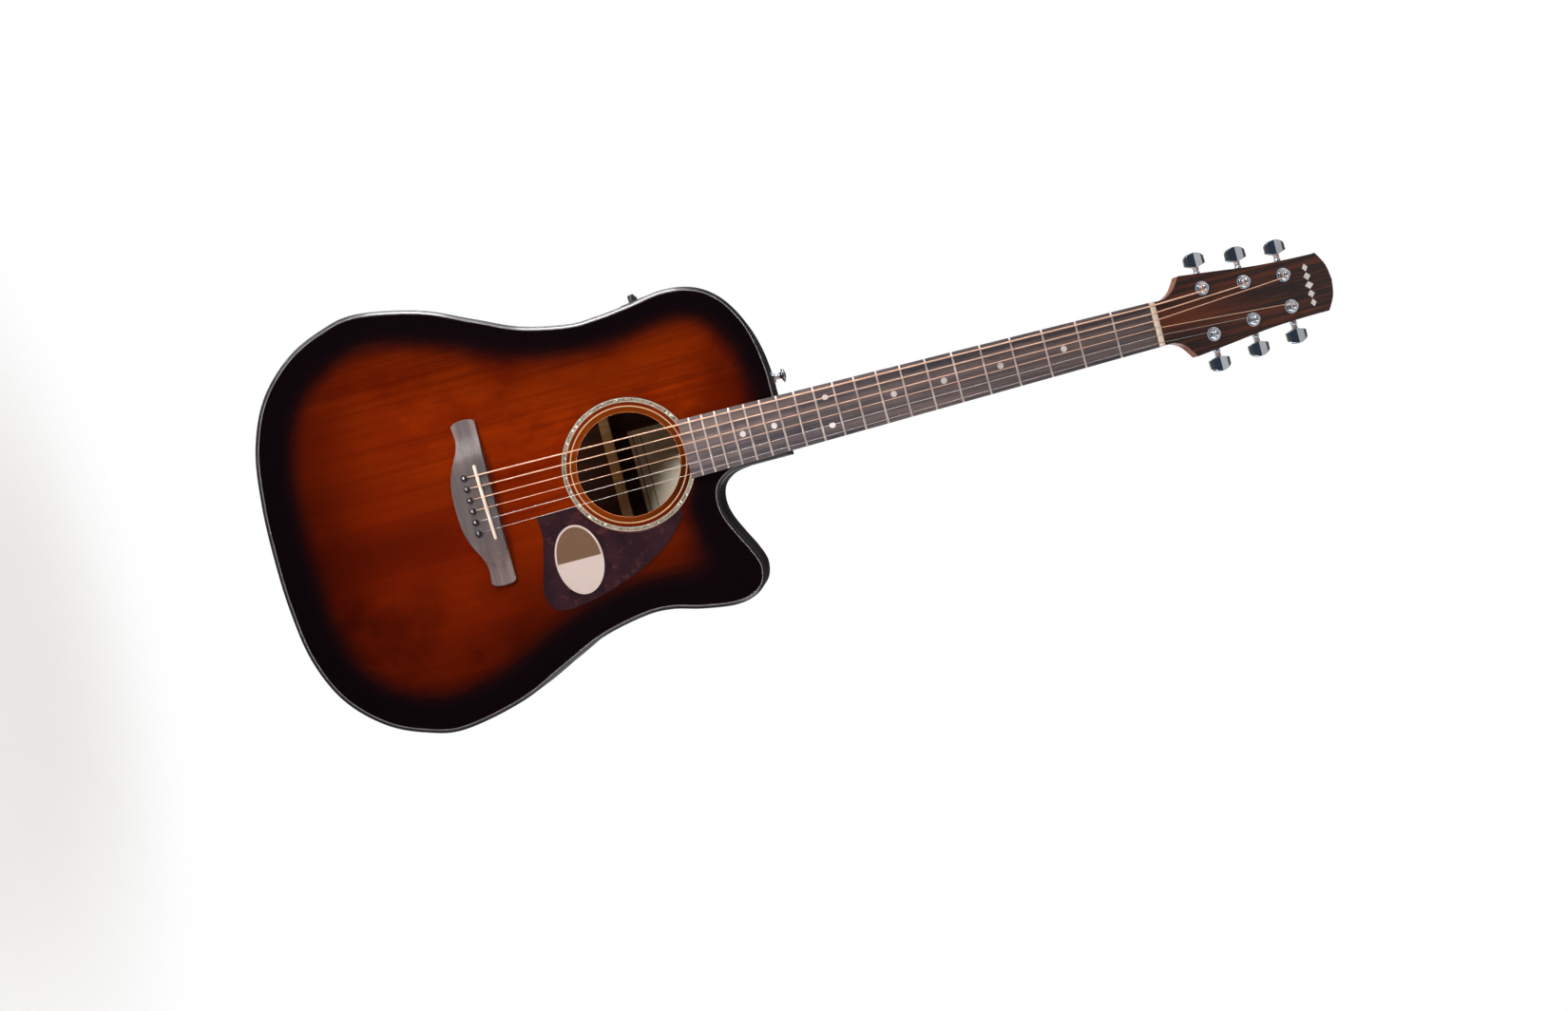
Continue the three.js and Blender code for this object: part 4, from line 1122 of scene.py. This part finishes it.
def make_housing(number, side, across, along):
    """Cast gear case on the back of the head, with its cover, mounting ear and screw."""
    place = head_frame(across, along)

    def reach(low, high):
        return (low, high) if side > 0 else (-high, -low)

    def cased(name, x, y, z, width, **options):
        make_box(name, reach(*x), y, z, CHROME, "chrome", place, bevel=(width, 4), sharp=40, **options)

    cased(
        f"gear_case_{number}", (-7, 12), (-CASE_FRONT - 0.3, -CASE_BACK - 0.8), (-7.2, 13.4), 2.2,
        replaces=(f"tuner_housing_{number}",))
    cased(f"gear_cover_{number}", (-5, 10), (-CASE_BACK - 1.0, -CASE_BACK - 0.1), (-5.2, 11.4), 0.4)
    cased(f"case_ear_{number}", (-3.4, 3.4), (-CASE_FRONT - 0.3, -CASE_FRONT + 1.2), (-12, -6), 0.6)
    screw = (across, along - 9.6, CASE_FRONT - 1.2)
    head = [(2.1, 0), (2.1, 0.3), (1.6, 0.8), (0.8, 1.0)]
    make_turned(f"case_screw_{number}", head, on_head(*screw), -HEAD_NORMAL, CHROME, "chrome", 24)
    # Painted shade: two thin near-black strips on the screw head draw its cross slot.
    for index, (half_x, half_z) in enumerate(((0.22, 1.3), (1.3, 0.22))):
        make_box(
            f"screw_slot_{number}_{index + 1}", (-half_x, half_x), (0.9, 1.04), (-half_z, half_z),
            RECESS_SHADE, "black_plastic", head_frame(*screw))


BUTTON_BASE = 21.6
BUTTON_SHOULDER = 31.2
BUTTON_HALF = 10.8
BUTTON_TIP = 35.9
BUTTON_FOLD = 7.4


def button_outline():
    """The key's button: x outwards from the post, z along the head. Shallow V inside, dome outside."""
    dome = spline([
        (BUTTON_SHOULDER, BUTTON_HALF - 0.3), (33.6, BUTTON_FOLD), (35.2, 3.7), (BUTTON_TIP, 0)], 3)
    upper = [(BUTTON_BASE, 0), (BUTTON_BASE, 2.4), (23, BUTTON_FOLD), (24, BUTTON_HALF), *dome]
    return [*upper, *((x, -z) for x, z in reversed(upper[1:-1]))]


def button_half_thickness(_, z):
    """Two flat faces meet in a ridge that runs outwards, with a steeper facet along each side."""
    off = abs(z)
    return 3.5 - 0.15 * min(off, BUTTON_FOLD) - 0.42 * max(0.0, off - BUTTON_FOLD)


def make_key(number, side, across, along):
    place = head_frame(across, along + WORM_OFFSET, WORM_HEIGHT)
    if side < 0:
        place = place @ Matrix.Rotation(math.pi, 4, "Z")
    body = f"tuner_key_{number}"
    outline = button_outline()
    folds = [(BUTTON_BASE + 1.5 * step, z) for step in range(1, 10) for z in (-BUTTON_FOLD, 0, BUTTON_FOLD)]
    folds = [spot for spot in folds if inside(spot, outline) and rim_distance(spot, outline) > 0.8]
    make_plate(
        f"button_{number}", [outline], lambda x, z: -button_half_thickness(x, z), button_half_thickness,
        CHROME, "chrome", extra=folds, place=place, body=body,
        replaces=(f"tuner_key_{number}",), bevel=(0.35, 2), sharp=4)
    outwards = (place.to_3x3() @ Vector((1, 0, 0))).normalized()
    start = place.to_translation()
    shaft = [
        (2.1, 6), (2.2, 12.1), (2.8, 12.2), (3.0, 12.6), (3.0, 16.8), (2.75, 17.2), (2.5, 17.3), (2.5, 18.6),
        (2.8, 18.9), (2.8, 24),
    ]
    make_turned(f"key_shaft_{number}", shaft, start, outwards, CHROME, "chrome", 32, body=body, sharp=45)


def make_tuners():
    for number, side, across, along in tuner_places():
        make_bushing(number, across, along)
        make_post(number, across, along)
        make_housing(number, side, across, along)
        make_key(number, side, across, along)


# ---- Strings


def string_path(index):
    """From inside its pin hole over the saddle and the nut to the side of its post."""
    radius = STRING_RADII[index]
    _, side, across, along = tuner_places()[index]
    pin_x = string_place(index, PIN_SPACING)
    saddle_x = string_place(index, SADDLE_SPACING)
    saddle_z = SADDLE_Z + SADDLE_SLOPE * saddle_x
    crest = SADDLE_CREST + crown(saddle_x) - radius
    nut_x = string_place(index, NUT_SPACING)
    nut_y = crown(nut_x) - 1.5 - radius
    bridge = bridge_height(pin_x, PIN_Z + 3)
    post = on_head(across - side * (POST_WAIST + radius), along, STRING_LEVEL)
    nut_point = Vector((nut_x, nut_y, 0.5))
    away = (post - nut_point).normalized()
    saddle_point = Vector((saddle_x, crest, saddle_z + 0.5))
    steps = 40
    run = [saddle_point.lerp(nut_point, step / steps) for step in range(steps + 1)]
    start = [
        Vector((pin_x, bridge + 6, PIN_Z + 2.3)), Vector((pin_x, bridge + 1.2, PIN_Z + 2.6)),
        Vector((pin_x, bridge - radius * 0.6, PIN_Z + 3.6)),
        Vector(((pin_x + saddle_x) / 2, (bridge + crest) / 2 - radius * 0.5, (PIN_Z + 3.6 + saddle_z) / 2)),
        Vector((saddle_x, crest + 0.25, saddle_z - 1.0)),
    ]
    end = [nut_point + away * 2.5 + Vector((0, -0.05, 0)), nut_point.lerp(post, 0.5), post]
    return [*start, *run, *end]


def make_strings():
    for index, radius in enumerate(STRING_RADII):
        number, side, across, along = tuner_places()[index]
        wound = (WOUND_WIRE, "wound_string", 2)
        plain = (PLAIN_WIRE, "plain_string", 3.5)
        wire, slot, turns = wound if index < 4 else plain
        make_piece(
            f"wire_{index + 1}", *loft(tube(string_path(index), radius)), wire, slot,
            replaces=(f"string_{index + 1}",), sharp=60)
        reach = POST_WAIST + 0.05 + radius
        steps = int(turns * 20)
        place = head_frame(across, along)
        pitch = 2 * radius + 0.05
        first = math.pi if side > 0 else 0.0
        helix = []
        for step in range(steps + 1):
            angle = first - side * 2 * math.pi * turns * step / steps
            level = STRING_LEVEL - pitch * turns * step / steps
            helix.append(place @ Vector((reach * math.cos(angle), -level, reach * math.sin(angle))))
        make_piece(
            f"post_winding_{number}", *loft(tube(helix, radius, 10)), wire, slot,
            body=f"tuner_post_{number}", sharp=60)


# ---- Fittings


def make_strap_button():
    x, y, _ = middle_of("strap_button")
    profile = [
        (5.2, 0), (5.5, 0.4), (5.4, 2.4), (4.6, 3.6), (3.2, 4.8), (2.8, 6.2), (2.85, 8), (4, 9.3), (6.2, 10),
        (7, 10.7), (7, 11.7), (6.4, 12.3), (5, 12.6),
    ]
    place = ((x, y, NECK_JOINT), (0, 0, 1))
    make_turned("strap_peg", profile, *place, CHROME, "chrome", replaces=("strap_button",), sharp=50)
    screw = [(3.6, 12.3), (3.5, 12.9), (2.6, 13.3), (1.2, 13.45)]
    make_turned("strap_screw", screw, *place, STEEL, "chrome", 32)
    # Painted shade: two thin near-black strips on the screw head draw its cross slot.
    for index, (half_x, half_y) in enumerate(((2.2, 0.35), (0.35, 2.2))):
        make_box(
            f"strap_slot_{index + 1}", (x - half_x, x + half_x), (y - half_y, y + half_y),
            (NECK_JOINT + 13.2, NECK_JOINT + 13.5), RECESS_SHADE, "black_plastic")


def make_endpin():
    x, y, _ = middle_of("endpin_jack")
    profile = [
        (7.8, 0), (8, 0.4), (7.9, 2.2), (6.4, 3.4), (5.1, 4.8), (5, 8.2), (6.2, 9.6), (7, 10.6), (7, 12.3),
        (6.4, 12.9), (5.4, 13), (3.6, 13), (3.3, 12.4), (3.3, 6),
    ]
    place = ((x, y, TAIL), (0, 0, -1))
    make_turned("jack_barrel", profile, *place, CHROME, "chrome", replaces=("endpin_jack",), sharp=50)
    # Painted shade: a near-black plug fills the jack's bore for its dark depth.
    make_turned("jack_socket", [(3.25, 6), (3.25, 11.6)], *place, RECESS_SHADE, "black_plastic", 32)
    washer = [(9.5, 0), (9.5, 0.5), (9, 0.9), (7.5, 1)]
    make_turned("jack_washer", washer, *place, CHROME, "chrome")


def make_knob(node):
    """A ribbed knob with a pointer line on its crown."""
    base, axis = joint_place(node)
    place = Matrix.Translation(base) @ Vector((0, 0, 1)).rotation_difference(axis).to_matrix().to_4x4()
    ribs = 24
    rings = []
    levels = (
        (2.6, 3.7, 0.0), (3.2, 3.75, 0.22), (8.4, 3.5, 0.22), (9.3, 3.2, 0.1), (9.9, 2.5, 0), (10, 1.6, 0))
    for height, radius, depth in levels:
        ring = []
        for step in range(3 * ribs):
            angle = 2 * math.pi * step / (3 * ribs)
            reach = radius - depth * (0.5 + 0.5 * math.cos(angle * ribs))
            ring.append(place @ Vector((reach * math.cos(angle), reach * math.sin(angle), height)))
        rings.append(ring)
    make_piece(
        f"{node}_cap", *loft(rings), BLACK_PLASTIC, "black_plastic", body=node, replaces=(node,), sharp=50)
    make_box(f"{node}_pointer", (0.6, 3.0), (-0.22, 0.22), (9.4, 10.05), IVORY, "bone", place, body=node)


def make_preamp():
    """The panel under the two knobs, with round corners and a small lamp."""
    volume, axis = joint_place("volume_knob")
    middle = (volume + joint_place("tone_knob")[0]) / 2
    along = Vector((-axis.z, 0, axis.x)).normalized()
    across = Vector((0, 1, 0))
    loop = []
    for corner_x, corner_z, start in ((20, 9, 0), (-20, 9, 1), (-20, -9, 2), (20, -9, 3)):
        for step in range(7):
            angle = math.pi / 2 * (start + step / 6)
            loop.append((corner_x + 4 * math.cos(angle), corner_z + 4 * math.sin(angle)))
    rings = []
    for height, shrink in ((-2.2, 0), (1.6, 0), (2.2, 0.5)):
        ring = []
        for u, v in loop:
            scale = 1 - shrink / 22
            ring.append(middle + across * u * scale + along * v * scale + axis * height)
        rings.append(ring)
    make_piece(
        "preamp_plate", *loft(rings), BLACK_PLASTIC, "black_plastic", replaces=("preamp_panel",), sharp=40)
    lamp = middle + axis * 2.1 + across * 20 + along * 6
    make_turned("preamp_lamp", [(1.3, 0), (1.2, 0.4), (0.7, 0.7)], lamp, axis, STEEL, "chrome", 20)


# ---- CAD nodes that stay, with better finishes


def finish_inside():
    for names, material in (
        (("top_lining", "back_lining", "x_brace", "transverse_brace", "back_brace_upper", "back_brace_lower"),
         BARE_SPRUCE),
        (("neck_block", "end_block", "bridge_plate"), BARE_MAHOGANY),
        (("truss_rod",), STEEL),
    ):
        for name in names:
            node = frame["nodes"][name]
            node.data.materials.clear()
            node.data.materials.append(material)


# ---- Floor and light


def make_floor():
    """A pale floor well below the hanging guitar, fading out at its rim."""
    level = TAIL - 330
    middle_y = 60
    radius = 620
    sides = 64
    corners = circle(radius, (0, middle_y), sides)
    points = [Vector((x, y, level)) * MM for x, y in [(0, middle_y), *corners]]
    mesh = bpy.data.meshes.new("floor")
    mesh.from_pydata(points, [], [(0, 1 + k, 1 + (k + 1) % sides) for k in range(sides)])
    floor = add_object("floor", mesh)
    made = Surface("pale_floor", Roughness=0.6)
    distance = made.node("VectorMath", {0: made.place(), 1: (0, middle_y, level)}, operation="DISTANCE")
    cloud = made.noise((0.004, 0.004, 0.004), 3)
    made.set("Base Color", made.mix(cloud, (236, 236, 236), (244, 244, 243)))
    made.set("Alpha", made.ramp(distance.outputs["Value"], 120, radius * 0.97, 1, 0))
    mesh.materials.append(made.material)


def make_world():
    """White behind the guitar. What lights it is bright at the sides, and dim blue ahead and behind."""
    world = bpy.data.worlds.new("studio")
    bpy.context.scene.world = world
    world.use_nodes = True
    made = Nodes(world.node_tree)
    made.tree.nodes.clear()
    direction = made.node("SeparateXYZ", {"Vector": made.node("TexCoord").outputs["Generated"]})
    ahead = made.math("ABSOLUTE", direction.outputs["Y"])
    facing = made.ramp(ahead, 0.6, 0.9, 0.75, 0.07)
    above = made.ramp(direction.outputs["Z"], 0.75, 0.97, 1, 0.12)
    behind = made.ramp(direction.outputs["Y"], 0.3, 0.95, 1, 0.15)
    bluish = made.times(made.ramp(ahead, 0.8, 0.9), made.ramp(ahead, 0.94, 0.985, 1, 0))
    tint = made.mix(bluish, (255, 250, 246), (190, 214, 244))
    strength = made.times(made.times(facing, above), behind)
    studio = made.node("Background", {"Color": tint, "Strength": strength})
    backdrop = made.node("Background", {"Color": (1, 1, 1, 1)})
    pick = made.node("MixShader", {
        0: made.node("LightPath").outputs["Is Camera Ray"], 1: studio.outputs[0], 2: backdrop.outputs[0]})
    made.node("OutputWorld", {"Surface": pick.outputs[0]})


def add_light(name, kind, place, power):
    data = bpy.data.lights.new(name, kind)
    data.energy = power
    light = add_object(name, data)
    light.location = place
    light.visible_camera = False
    return light


def add_softbox(name, place, target, size, power, spread=180):
    light = add_light(name, "AREA", place, power)
    light.data.shape = "DISK"
    light.data.size = size
    light.data.spread = math.radians(spread)
    light.rotation_euler = (Vector(target) - Vector(place)).to_track_quat("-Z", "Y").to_euler()


def add_glow(place, power):
    """Light scattered inside the body."""
    light = add_light("inside_glow", "POINT", place, power)
    light.data.shadow_soft_size = 0.03
    light.data.color = (1, 0.72, 0.5)


def make_lights():
    middle = (0, 0, -0.45)
    hole = (0, 0.05, HOLE_Z * MM)
    add_softbox("key", (-2.0, -1.7, -0.68), middle, 0.7, 60)
    add_softbox("fill", (1.9, -1.5, 0.0), middle, 1.0, 20)
    add_softbox("hole_lamp", (-1.04, -1.8, -1.61), hole, 0.5, 1.4, 24)
    add_glow((-0.03, 0.06, -0.6), 0.05)
    add_softbox("back_left", (-1.8, 1.9, 0.6), middle, 2.0, 34)
    add_softbox("back_right", (1.8, 1.9, 0.3), middle, 2.0, 26)
    bpy.context.scene.view_settings.view_transform = "Standard"


# ---- Making it all

make_top()
make_back()
make_sides()
make_bindings()
make_rosette()
make_pickguard()
make_badge()
make_label()
make_bridge()
make_saddle()
make_pins()
make_fingerboard()
make_frets()
make_dots()
make_nut()
make_neck()
make_headplate()
make_head_inlay()
make_heel_cap()
make_tuners()
make_strings()
make_strap_button()
make_endpin()
make_knob("volume_knob")
make_knob("tone_knob")
make_preamp()
finish_inside()
make_floor()
make_world()
make_lights()
